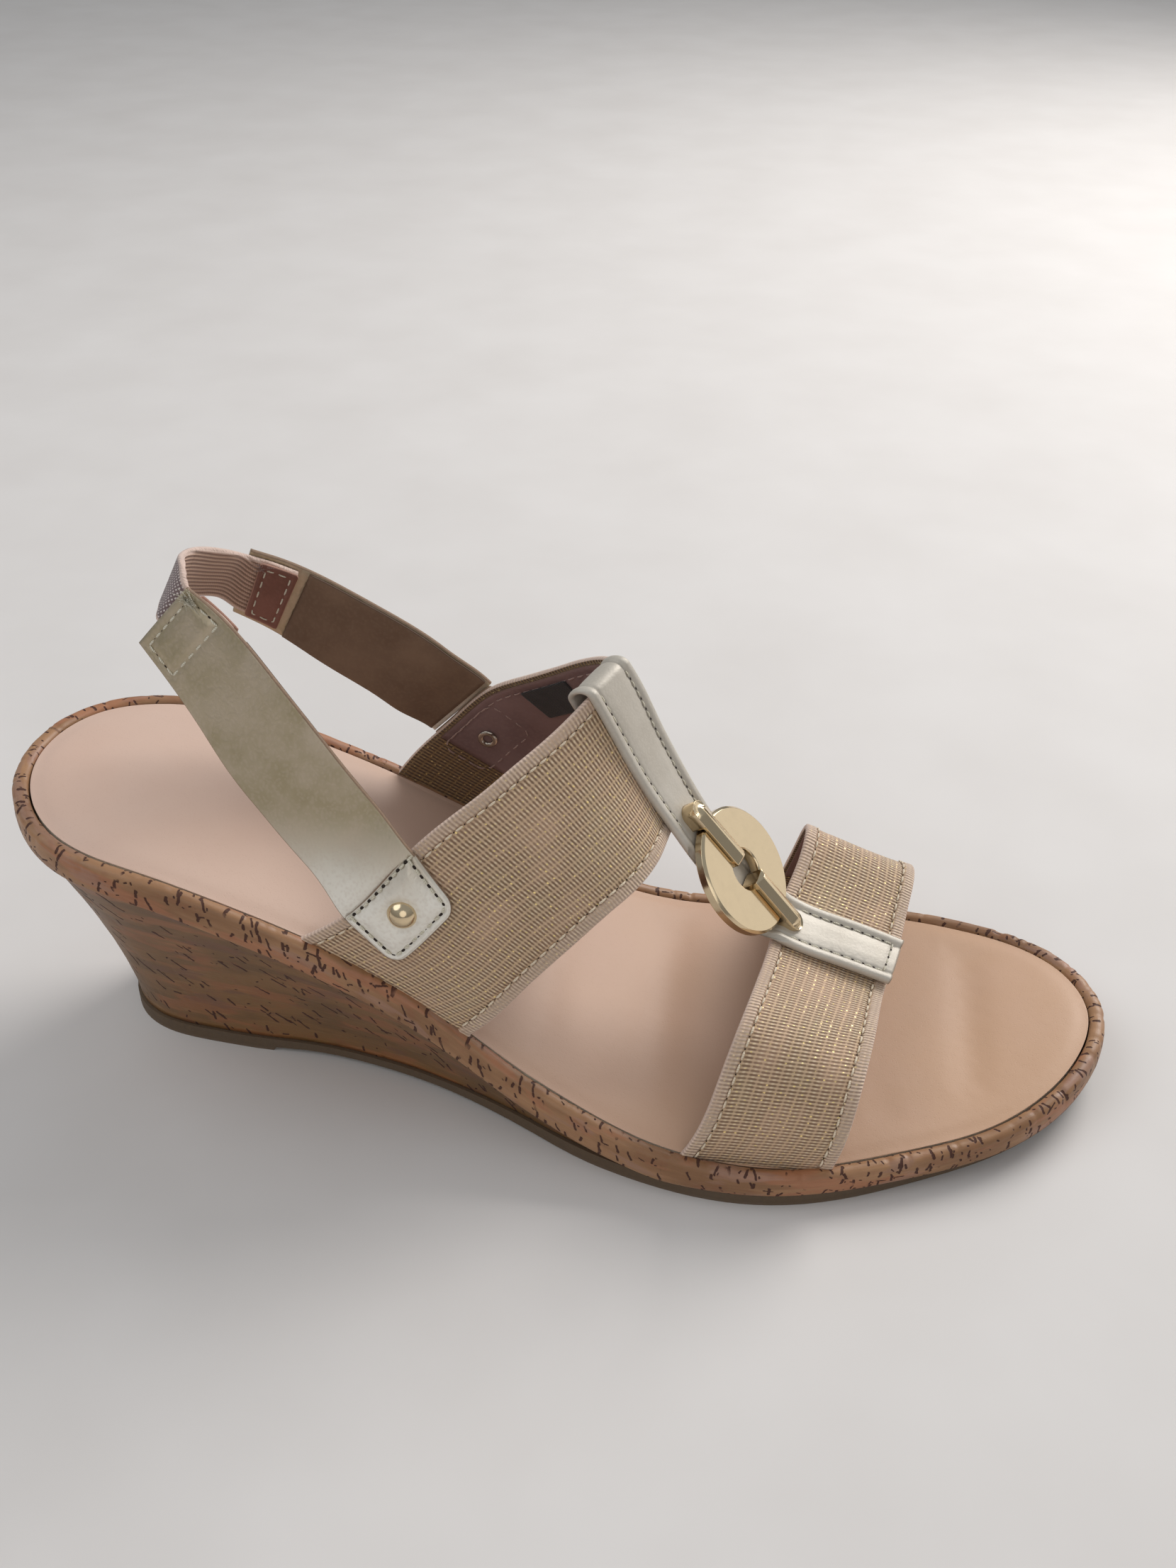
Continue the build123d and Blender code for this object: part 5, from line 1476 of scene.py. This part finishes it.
def ornament_bar(name, sign, outer_x, lift, foot):
    """Ridged bar, square inside the hole and rounded at the outer end beyond the ring."""
    shoulder, ridge = RING_HIGH + 0.9 + lift, RING_HIGH + 2.0 + lift

    def plan(inset):
        half = BAR_HALF_WIDTH - inset
        xs = np.linspace(BAR_INNER_X + inset * 0.25, outer_x - BAR_HALF_WIDTH, 46)
        angle = np.linspace(-np.pi / 2, np.pi / 2, 26)[1:-1]
        inner_y = np.linspace(half, -half, 7)[1:-1]
        return (np.r_[xs, outer_x - BAR_HALF_WIDTH + half * np.cos(angle), xs[::-1],
                      np.full(5, xs[0])],
                np.r_[np.full(46, -half), half * np.sin(angle), np.full(46, half), inner_y])
    rows = []
    # underside: inside the hole, over the ring, and beyond it
    for inset, rise in ((1.9, 0.0), (0.08, 0.0), (0.0, 0.06)):
        x, y = plan(inset)
        under = np.where(x < 4.45, RING_LOW - 0.3,
                         np.where(x < 14.95, RING_HIGH + 0.06, foot))
        rows.append(on_ornament(sign * x, sign * y, under + rise))
    for inset, height in (
            (0.0, shoulder - 0.14), (0.02, shoulder - 0.07), (0.09, shoulder),
            (0.16, shoulder + 0.03), (1.72, ridge - 0.10), (1.80, ridge - 0.06),
            (1.92, ridge - 0.02), (2.02, ridge)):
        x, y = plan(inset)
        # the ridge dips a little at the outer end
        dip = 0.55 * smooth(outer_x - 3.4, outer_x - 0.6, x) if height > shoulder else 0.0
        rows.append(on_ornament(sign * x, sign * y, height - dip))
    ob = mesh_object("ornament_bar_%s_ridged" % name, np.concatenate(rows),
                     stack_faces(len(rows), len(rows[0])), GOLD)
    register(ob, replaces="ornament_bar_" + name)


ornament_ring()
ornament_bar("upper", sign=-1, outer_x=20.5, lift=0.0, foot=0.75)
ornament_bar("lower", sign=1, outer_x=19.8, lift=0.5, foot=1.6)

# ---------------------------------------------------------------- T strip
T_ROW = 2.5         # stitch rows, from the strip's edges
T_END_ROW = 2.2     # stitch row across the front end, from that end
FOLD_R = 2.0        # inner radius of the fold over the instep band's rear edge


def t_strip_top(run, cross, width):
    """Beaded edges, stitch grooves and a padded middle."""
    edge = np.minimum(cross, width - cross)
    bead = 0.55 * np.sqrt(np.clip(1 - ((edge - 1.05) / 1.15) ** 2, 0, 1))
    groove = -0.30 * bell(edge, 2.5, 0.38)
    pad = 0.20 * smooth(2.4, 5.4, edge)
    pucker = 0.08 * np.cos(2 * np.pi * run / 2.6) * bell(edge, 2.6, 0.7)
    soft = 0.10 * noise2(run / 9.0, cross / 5.0, 6.0)
    end_groove = -0.16 * bell(run, t_strip.length - T_END_ROW, 0.4) * smooth(2.0, 3.0, edge)
    return bead + groove + pad + pucker + soft + end_groove


def t_strip_leather():
    n_out, n_in, corner_points, edge = 46, 12, 6, 0.75
    alongs = np.linspace(float(t_strip.along_at(1.7)), 1, int(t_strip.length / 0.55))
    run = t_strip.run(alongs)
    width = t_strip.wide(alongs)[:, None]
    cross, out = band_section(run[:, None], width, edge, np.linspace(0, 1, n_out),
                              np.linspace(1, 0, n_in), t_strip_top, flat(-STRAP_T),
                              corner_points)
    across = cross / width
    points = t_strip.at(alongs[:, None], across, out)
    # the fold over the band's rear edge, and the tail under it
    start = alongs[0]
    ahead = unit(t_strip.at(start + 0.01, 0.5) - t_strip.at(start, 0.5))
    centre = t_strip.at(start, across[0], -STRAP_T - FOLD_R)
    normal = unit(t_strip.at(start, across[0], 1.0) - centre)
    fold, fold_run, steps = [], [], 22
    for k in range(steps, 0, -1):
        angle = math.pi * k / steps
        radius = FOLD_R + (STRAP_T + out[0]) * (1 - 0.30 * k / steps)
        fold.append(centre + normal * (radius * math.cos(angle))[:, None]
                    - ahead * (0.66 * radius * math.sin(angle))[:, None])
        fold_run.append(run[0] - angle * (FOLD_R + STRAP_T))
    radius = FOLD_R + (STRAP_T + out[0]) * 0.70
    thinned = FOLD_R + (radius - FOLD_R) * 0.6 + 0.2
    tail_reach = (6.2, 6.0, 4.4, 3.0, 1.5)
    tail = [centre - normal * (thinned if i == 0 else radius)[:, None] + ahead * reach
            for i, reach in enumerate(tail_reach)]
    tail_run = [fold_run[0] - reach for reach in tail_reach]
    # pressed down where the ornament's ring crosses it
    outer_columns = np.arange(cross.shape[1]) < n_out + 3
    rel = points - ORNAMENT_AT
    lift = rel @ ORNAMENT_Z
    radial = np.linalg.norm(rel - lift[..., None] * ORNAMENT_Z, axis=-1)
    limit = (1.22 + 1.1 * np.clip(radial - RING_R - 0.3, 0, None)
             - np.where(outer_columns, 0.0, STRAP_T))
    push = np.clip(lift - limit, 0, None) * smooth(26.0, 20.0, radial)
    points = points - push[..., None] * ORNAMENT_Z
    points = np.concatenate([np.array(tail), np.array(fold), points], 0)
    extra = len(tail) + len(fold)
    run = np.r_[tail_run, fold_run, run]
    cross, width = [np.vstack([np.repeat(rows[:1], extra, 0), rows]) for rows in (cross, width)]
    side = np.zeros(cross.shape)
    side[0] = side[-1] = 1.0
    uv = np.stack([np.broadcast_to(run[:, None], cross.shape), cross], -1)
    attrs = {"edge_mm": np.minimum(cross, width - cross), "side": side,
             "face": np.broadcast_to(outer_columns.astype(float)[None], cross.shape)}
    ob = mesh_object("t_strip_leather", points, tube_faces(*cross.shape), SILVER, uv, attrs)
    register(ob, replaces="t_strip")


def t_strip_stitches():
    """Rows along both edges, broken at the ornament, and one across the front end."""
    middle = float(t_strip.run(locate(t_strip, ORNAMENT_AT)[0]))
    alongs = np.linspace(float(t_strip.along_at(2.6)), 0.975, 300)
    parts = [alongs[alongs < float(t_strip.along_at(middle - 17.5))],
             alongs[alongs > float(t_strip.along_at(middle + 19.0))]]
    paths = edge_rows(t_strip, parts, T_ROW, 0.02)
    end = float(t_strip.along_at(t_strip.length - T_END_ROW))
    inset = T_ROW / t_strip.wide(end)
    paths.append(ribbon_path(t_strip, end, np.linspace(inset, 1 - inset, 30), 0.26))
    ob = stitches("t_strip_stitches", paths, THREADS["pale"], radius=0.2, length=1.75,
                  gap=0.85, lift=-0.02, hole_radius=0.27)
    register(ob)


def t_strip_backing():
    """Lining behind the free part of the T strip."""
    start = locate(t_strip, (152.6, 0.0, 56.5))[0]
    end = locate(t_strip, (164.6, 0.0, 43.6))[0]
    ob = band_mesh(
        "t_strip_backing", t_strip, np.linspace(start, end, 24), 0.6 + STRAP_T + LAYER_GAP,
        LINING, edge=0.25, n_out=16, n_in=16, outer=flat(-STRAP_T - LAYER_GAP),
        inner=lambda run, cross, width: 0.04 * noise2(run / 3.0, cross / 3.0, 9.0),
        span=(0.08, 0.92))
    register(ob, replaces="t_strip_lining")


t_strip_leather()
t_strip_stitches()
t_strip_backing()

# ---------------------------------------------------------------- sling tabs
TAB_ROW = 1.75      # stitches, from the tab's edges
TAB_SEAM = 0.75     # the seam to the sling, from the tab's rear edge


def sling_tab(side):
    """Padded tab on the instep band, in line with the sling: it leans over the band and
    narrows a little. Local x runs along the band, y from its rear edge forwards."""
    spec, spot = SIDES[side], STUD_SPOTS[side]
    stud_y = spot.across / spot.across_mm
    depth = stud_y + spec["past_stud"]
    seam_a, seam_b = [locate(instep, spec[edge][1])[0] for edge in ("rear", "front")]
    wide = abs(seam_b - seam_a) / spot.along_mm
    middle = ((seam_a + seam_b) / 2 - spot.along) / spot.along_mm

    def lean(x, y):
        down = y + depth / 2
        return x * (1 - 0.04 * down / depth) + middle + spec["lean"] * down

    def surface(x, y, out):
        return instep.at(spot.along + lean(x, y) * spot.along_mm,
                         (y + depth / 2) * spot.across_mm, out + 0.30)

    def top(points, margin):
        x, y = points.T
        rear = y + depth / 2
        from_stud = np.hypot(lean(x, y), y - (stud_y - depth / 2))
        inset = np.minimum(wide / 2 - np.abs(x), depth / 2 - y)
        height = 0.62 + 0.55 * smooth(0.0, 0.9, margin)
        height += 0.65 * smooth(1.9, 4.4, np.minimum(inset, rear + 0.9))    # padded middle
        height -= 0.34 * bell(inset, TAB_ROW, 0.42)     # stitch channel
        height -= 0.45 * bell(rear, TAB_SEAM, 0.5)      # the seam to the sling
        # pulled in round the stud
        height -= 0.50 * bell(np.maximum(from_stud - 3.0, 0.0), 0, 1.1)
        return height + 0.05 * noise2(x / 2.0, y / 2.0, 4.0)
    outline_mm = rounded_rect(wide, depth, radii=(3.4, 3.4, 0.4, 0.4))
    tab = patch_mesh("sling_tab_leather_" + side, outline_mm, surface, top, 1.0, OLIVE,
                     rings=26)
    register(tab, replaces="sling_tab_" + side)

    half_wide, front, bend = wide / 2 - TAB_ROW, depth / 2 - TAB_ROW, 1.9
    arc = np.linspace(0, np.pi / 2, 12)
    x = np.r_[np.full(20, -half_wide), -half_wide + bend - bend * np.cos(arc),
              half_wide - bend + bend * np.sin(arc), np.full(20, half_wide)]
    y = np.r_[np.linspace(-depth / 2 + 0.8, front - bend, 20),
              front - bend + bend * np.sin(arc), front - bend + bend * np.cos(arc),
              np.linspace(front - bend, -depth / 2 + 0.8, 20)]
    seam_x = np.linspace(-wide / 2 + 0.7, wide / 2 - 0.7, 40)
    rows = []
    for x, y, out in ((x, y, 0.98), (seam_x, np.full(40, -depth / 2 + TAB_SEAM), 0.86)):
        normal = instep.rows(spot.along + lean(x, y) * spot.along_mm)[2]
        rows.append((surface(x, y, out), normal))
    thread = stitches("sling_tab_stitches_" + side, rows, THREADS["pale"], radius=0.29,
                      length=1.5, gap=0.95, lift=0.16, hole_radius=0.45)
    register(thread)


for side in SIDES:
    sling_tab(side)

# ---------------------------------------------------------------- studs and rivet tubes
DOME_R, DOME_CENTRE = 3.34, 0.44
# Profiles: radius, height off the band. The dome's starts and ends on the axis.
DOME = [(0.0, DOME_R + DOME_CENTRE)]
DOME += [(DOME_R * math.sin(angle), DOME_CENTRE + DOME_R * math.cos(angle))
         for angle in np.linspace(0.09, 1.17, 18)]
DOME += [(3.13, 1.66), (3.17, 1.58), (3.15, 1.48), (3.05, 1.42), (1.2, 1.42), (1.0, 1.36),
         (0.95, 1.2), (0.95, -1.0), (0.85, -1.15), (0.0, -1.15)]
TUBE = [(1.05, -0.2), (1.52, -0.2), (1.55, -0.3), (1.55, -2.05), (2.15, -2.07),
        (2.34, -2.16), (2.42, -2.34), (2.36, -2.54), (2.14, -2.72), (1.82, -2.82),
        (1.50, -2.80), (1.24, -2.66), (1.10, -2.44), (1.05, -2.2)]


def turned(profile, centre, axis, solid=True, count=72):
    """Points and faces of a shape turned on an axis; a hollow one is a closed tube."""
    axis = unit(axis)
    right = unit(np.cross(axis, (0.0, 0.0, 1.0)))
    up = np.cross(axis, right)
    angle = np.linspace(0, 2 * np.pi, count, endpoint=False)[:, None]
    middle = profile[1:-1] if solid else profile
    points = np.concatenate([
        centre + axis * height + radius * (right * np.cos(angle) + up * np.sin(angle))
        for radius, height in middle])
    faces = ring_quads(len(middle), count, closed=not solid)
    if solid:
        top, last = len(points), len(points) - count
        points = np.vstack([points, centre + axis * profile[0][1],
                            centre + axis * profile[-1][1]])
        for k in range(count):
            l = (k + 1) % count
            faces += [(top, l, k), (top + 1, last + k, last + l)]
    return points, faces


def studs():
    tube_points, tube_quads = np.zeros((0, 3)), []
    for side, spot in STUD_SPOTS.items():
        centre = instep.at(spot.along, spot.across, 0.0)
        axis = instep.at(spot.along, spot.across, 1.0) - centre
        ob = mesh_object("stud_dome_" + side, *turned(DOME, centre, axis), GOLD)
        register(ob, replaces="stud_" + side)
        points, faces = turned(TUBE, centre, axis, solid=False)
        base = len(tube_points)
        tube_quads += [tuple(i + base for i in face) for face in faces]
        tube_points = np.concatenate([tube_points, points])
    ob = mesh_object("rivet_tubes_rolled", tube_points, tube_quads, NICKEL)
    register(ob, replaces="stud_tubes")


studs()

# ---------------------------------------------------------------- sling
SLINGS = {side: Ribbon(spec["rear"], spec["front"], (62, 0, 85))
          for side, spec in SIDES.items()}
BOX_NEAR, BOX_FAR = 1.9, 9.2    # sewn box, from the strap's end
BOX_INSET = 1.8                 # and from its edges
ELASTIC_LEVEL = -SLING_T - SLING_GAP


def sling_strap(side):
    """The strap, its lining and the sewn box at its end, which holds the heel elastic."""
    spec, rib = SIDES[side], SLINGS[side]
    seam_mid = (np.array(spec["rear"][1]) + np.array(spec["front"][1])) / 2
    seam_along = locate(rib, seam_mid)[0]
    seam_run = rib.run(seam_along)
    seam = rib.at(seam_along, 0.5)
    pivot = np.array([SLING_PIVOT[0], seam_mid[1] * 0.97, SLING_PIVOT[1]])
    blend_ends = dict(start=tuple(put(seam)), end=tuple(put(seam + (pivot - seam) * 2.0)))

    def shift(run, cross, width):
        """Lifts the strap over the band at the seam."""
        return 1.55 * (1 - smooth(seam_run + 0.5, seam_run + 13.0, run))

    def top(run, cross, width):
        edge = np.minimum(cross, width - cross)
        crown = 0.22 * smooth(0, 4.0, edge)
        soft = (0.10 * noise2(run / 16.0, cross / 7.0, 4.0)
                + 0.03 * noise2(run / 4.0, cross / 3.0, 7.0))
        from_end = rib.length - run
        in_box = smooth(1.4, 2.0, from_end) * (1 - smooth(9.0, 9.6, from_end))
        pad = (smooth(1.8, 3.6, from_end) * (1 - smooth(7.6, 9.4, from_end))
               * smooth(1.8, 3.6, edge))
        groove = ((bell(from_end, BOX_NEAR, 0.45) + bell(from_end, BOX_FAR, 0.45))
                  * smooth(1.0, 1.8, edge) + bell(edge, BOX_INSET, 0.4) * in_box)
        seam_groove = bell(run, seam_run, 0.8) * smooth(0.2, 1.2, edge)
        return crown + soft + 0.34 * pad - 0.26 * np.clip(groove, 0, 1) - 0.42 * seam_groove

    def places(start, end, step):
        return np.linspace(start, end, int((rib.run(end) - rib.run(start)) / step))
    strap = band_mesh(
        "sling_strap_leather_" + side, rib,
        places(float(rib.along_at(seam_run - 0.35)), 1, step=0.6), SLING_T, OLIVE,
        edge=0.4, n_out=44, n_in=14, outer=top, shift=shift)
    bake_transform(strap)
    register(strap, replaces="sling_strap_" + side, body=None)

    lining = band_mesh(
        "sling_lining_leather_" + side, rib,
        places(float(rib.along_at(seam_run + 1.0)), 0.80, step=1.0),
        SLING_T + SLING_GAP + SLING_LINING_T, SLING_LINING,
        edge=0.25, n_out=14, n_in=30, outer=flat(ELASTIC_LEVEL), shift=shift,
        inner=lambda run, cross, width: 0.04 * noise2(run / 5.0, cross / 4.0, 2.0),
        span=(0.02, 0.98))
    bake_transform(lining)
    register(lining, replaces="sling_lining_" + side, body=None)

    far, near = [float(rib.along_at(rib.length - gap)) for gap in (BOX_FAR, BOX_NEAR)]
    inset = BOX_INSET / float(rib.wide(near))
    corners = np.array([(far, inset), (far, 1 - inset), (near, 1 - inset), (near, inset)])
    rows = []
    for start, end in zip(corners, np.roll(corners, -1, 0)):
        along, across = (start + (end - start) * np.linspace(0, 1, 40)[:, None]).T
        width = rib.wide(along)
        rows.append(ribbon_path(rib, along, across, top(rib.run(along), across * width, width)))
    thread = stitches("sling_box_stitches_" + side, rows, THREADS["pale"], radius=0.24,
                      length=1.75, gap=0.8, lift=0.12, hole_radius=0.38)
    register(thread, body="sling")


def heel_elastic():
    """The elastic behind the heel, in two halves that meet at the back."""
    lateral, medial = SLINGS["lateral"], SLINGS["medial"]

    def edge_curve(free, lateral_across, medial_across):
        return ([lateral.at(along, lateral_across, ELASTIC_LEVEL) for along in (0.85, 0.93, 1.0)]
                + free
                + [medial.at(along, medial_across, ELASTIC_LEVEL) for along in (1.0, 0.92, 0.84)])
    low = edge_curve(LOOP_LOW, *[spec["elastic_low"] for spec in SIDES.values()])
    high = edge_curve(LOOP_HIGH, ELASTIC_HIGH, ELASTIC_HIGH)
    loop = Ribbon(low, high, (60, -3, 110))
    middle = float(np.interp(-0.8, loop.mid[:, 1], np.linspace(0, 1, loop.count)))
    back_x, _, back_z = put(loop.at(middle, 0.5))

    def outer(run, cross, width):
        weave = np.cos(2 * np.pi * (run + cross * HEEL_WEAVE_SLANT) / HEEL_WEAVE_PITCH)
        return 0.05 * weave + 0.04 * noise1(run / 4.0, 3.0)

    def inner(run, cross, width):
        return -0.09 * np.cos(2 * np.pi * cross / HEEL_RIB_PITCH)
    # name, places along, y where the blend starts and ends
    for name, start, end, start_y, end_y in (
            ("heel_elastic_outer_half", 0.0, middle, -20.5, -3.2),
            ("heel_elastic_inner_half", middle, 1.0, 16.6, 1.6)):
        alongs = np.linspace(start, end, int((loop.run(end) - loop.run(start)) / 0.35))
        ob = band_mesh(name, loop, alongs, HEEL_ELASTIC_T, HEEL_ELASTIC, edge=0.5, n_out=40,
                       n_in=84, outer=outer, inner=inner)
        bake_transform(ob)
        register(ob, replaces="heel_elastic", body=None)


def elastic_end_patch(side):
    """Leather patch over the elastic's end, inside the strap."""
    rib, low = SLINGS[side], SIDES[side]["elastic_low"]
    centre_run, width = float(rib.run(0.90)), float(rib.wide(0.90))
    centre_across = (low + ELASTIC_HIGH) / 2
    long = float(rib.run(0.965) - rib.run(0.835))
    high = (ELASTIC_HIGH - low) * width

    def surface(x, y, out):
        return rib.at(rib.along_at(centre_run + x), centre_across + y / width,
                      -SLING_T - 0.2 - HEEL_ELASTIC_T - 0.1 - out)

    def top(points, margin):
        return (0.45 + 0.30 * smooth(0, 0.8, margin) - 0.22 * bell(margin, 1.5, 0.4)
                + 0.07 * noise2(points[:, 0] / 2.2, points[:, 1] / 2.2, 8.0))
    ob = patch_mesh("elastic_end_patch_" + side, rounded_rect(long, high, 0.5), surface, top,
                    0.7, PATCH)
    register(ob, replaces="elastic_end_patches", body="sling")
    x, y = close(rounded_rect(long - 3.0, high - 3.0, 0.4)).T
    normal = rib.rows(rib.along_at(centre_run + x))[2]
    thread = stitches("elastic_end_patch_stitches_" + side,
                      [inside_out((surface(x, y, 0.62), normal))],
                      THREADS["pale"], radius=0.18, length=2.0, gap=0.8, lift=0.0)
    register(thread, body="sling")


def tuft(name, rib, along, across, out, mat, hairs, seed, size, inward=False):
    """A small tuft of frayed thread ends."""
    rng = np.random.RandomState(seed)
    base = rib.at(along, across, out)
    normal = rib.rows(np.array([along]))[2][0] * (-1 if inward else 1)
    ahead = unit(rib.at(min(along + 0.01, 1.0), across, out) - rib.at(along - 0.01, across, out))
    sideways = np.cross(normal, ahead)
    rings, sides = 6, 4
    verts, faces, uv = [], [], []
    for _ in range(hairs):
        root = base + ahead * rng.uniform(-1.2, 1.2) + sideways * rng.uniform(-0.5, 0.5)
        way = unit(normal * rng.uniform(0.15, 0.6) + ahead * rng.normal(0, 0.7)
                   + sideways * rng.normal(0, 0.5))
        bend = normal * -0.3 + sideways * rng.normal(0, 0.5) + ahead * rng.normal(0, 0.5)
        length = rng.uniform(0.5, 1.0) * size
        first = len(verts)
        last = first + (rings - 1) * sides
        for k in range(rings):
            part = k / (rings - 1)
            centre = root + way * length * part + bend * length * 0.5 * part * part
            radius = 0.095 * (1 - 0.6 * part)
            for j in range(sides):
                angle = 2 * math.pi * j / sides
                verts.append(centre + radius * (sideways * math.cos(angle)
                                                + normal * math.sin(angle)))
                uv.append((part * length, j))
        faces += ring_quads(rings, sides, first)
        faces += [tuple(range(first, first + sides)), tuple(range(last, last + sides))]
    ob = mesh_object(name, np.array(verts), faces, mat, np.array(uv, float))
    register(ob, body="sling")


for side in SIDES:
    sling_strap(side)
heel_elastic()
for side in SIDES:
    elastic_end_patch(side)
tuft("sling_thread_ends_lateral", SLINGS["lateral"],
     along=float(SLINGS["lateral"].along_at(SLINGS["lateral"].length - BOX_NEAR)),
     across=0.88, out=0.25, mat=THREADS["pale"], hairs=44, seed=3, size=3.0)
tuft("sling_thread_ends_medial", SLINGS["medial"], along=0.955, across=0.90,
     out=-SLING_T - HEEL_ELASTIC_T - 0.8, mat=THREADS["mauve"], hairs=26, seed=9, size=2.6,
     inward=True)


# ---------------------------------------------------------------- floor, lights, camera
def floor(half=3.0):
    mesh = bpy.data.meshes.new("floor")
    corners = [(-half, -half, 0), (half, -half, 0), (half, half, 0), (-half, half, 0)]
    mesh.from_pydata(corners, [], [(0, 1, 2, 3)])
    ob = bpy.data.objects.new("floor", mesh)
    bpy.context.scene.collection.objects.link(ob)
    ob.location.z = -0.00005
    mat = Mat("floor_plaster")
    cloud = mat.noise(mat.obj(), scale=0.02, detail=3.0)
    mesh.materials.append(mat.surface(
        Base_Color=mat.mix(cloud, srgb(214, 208, 203), srgb(226, 221, 217)), Roughness=0.75))


LIGHT_TARGET = (0.09, 0.0, 0.03)
# name, place in metres, disk diameter, power in watts, colour
LIGHTS = (
    ("key", (0.70, 0.85, 0.80), 0.80, 12.0, (1.0, 0.985, 0.97)),
    ("side", (0.95, 0.35, 0.22), 0.70, 0.74, (1.0, 0.98, 0.96)),
    ("fill", (-0.55, -0.15, 0.85), 0.9, 2.6, (0.93, 0.96, 1.0)),
    ("front", (0.30, -0.95, 0.55), 0.9, 1.5, (1.0, 0.97, 0.94)))


def lights():
    for name, place, size, power, colour in LIGHTS:
        data = bpy.data.lights.new(name, "AREA")
        data.shape, data.size, data.energy, data.color = "DISK", size, power, colour
        ob = bpy.data.objects.new(name, data)
        ob.location = place
        ob.rotation_mode = "QUATERNION"
        aim = Vector(LIGHT_TARGET) - Vector(place)
        ob.rotation_quaternion = aim.to_track_quat("-Z", "Y")
        bpy.context.scene.collection.objects.link(ob)


def studio_world():
    """A soft surround: warm grey below, cooler and lighter above."""
    world = bpy.data.worlds.new("studio")
    bpy.context.scene.world = world
    world.use_nodes = True
    tree = world.node_tree
    tree.nodes.clear()
    output, background, coords, split, ramp, level = [
        tree.nodes.new("ShaderNode" + kind) for kind in (
            "OutputWorld", "Background", "TexCoord", "SeparateXYZ", "ValToRGB", "MapRange")]
    level.inputs["From Min"].default_value = -1.0
    level.inputs["From Max"].default_value = 1.0
    stops = ((0.35, (0.30, 0.28, 0.27, 1)), (0.80, (0.62, 0.66, 0.70, 1)))
    for element, (position, colour) in zip(ramp.color_ramp.elements, stops):
        element.position, element.color = position, colour
    background.inputs["Strength"].default_value = 0.55
    for source, target in (
            (coords.outputs["Generated"], split.inputs[0]),
            (split.outputs[2], level.inputs["Value"]),
            (level.outputs[0], ramp.inputs[0]),
            (ramp.outputs[0], background.inputs["Color"]),
            (background.outputs[0], output.inputs[0])):
        tree.links.new(source, target)


def camera():
    """Looks forward and down at the shoe from its lateral side."""
    data = bpy.data.cameras.new("camera")
    data.sensor_width, data.lens = 36.0, 36.37
    data.clip_start, data.clip_end = 0.01, 20.0
    ob = bpy.data.objects.new("camera", data)
    right = Vector((0.9888, 0.149, 0.0071)).normalized()
    forward = Vector((-0.1177, 0.8081, -0.5772)).normalized()
    up = right.cross(forward).normalized()
    right = forward.cross(up).normalized()
    turn = Matrix((right, up, -forward)).transposed()
    place = Matrix.Translation((0.13087, -0.27686, 0.26827))
    ob.matrix_world = place @ turn.to_4x4()
    bpy.context.scene.collection.objects.link(ob)
    bpy.context.scene.camera = ob


floor()
lights()
studio_world()
camera()
bpy.context.scene.view_settings.view_transform = "Standard"
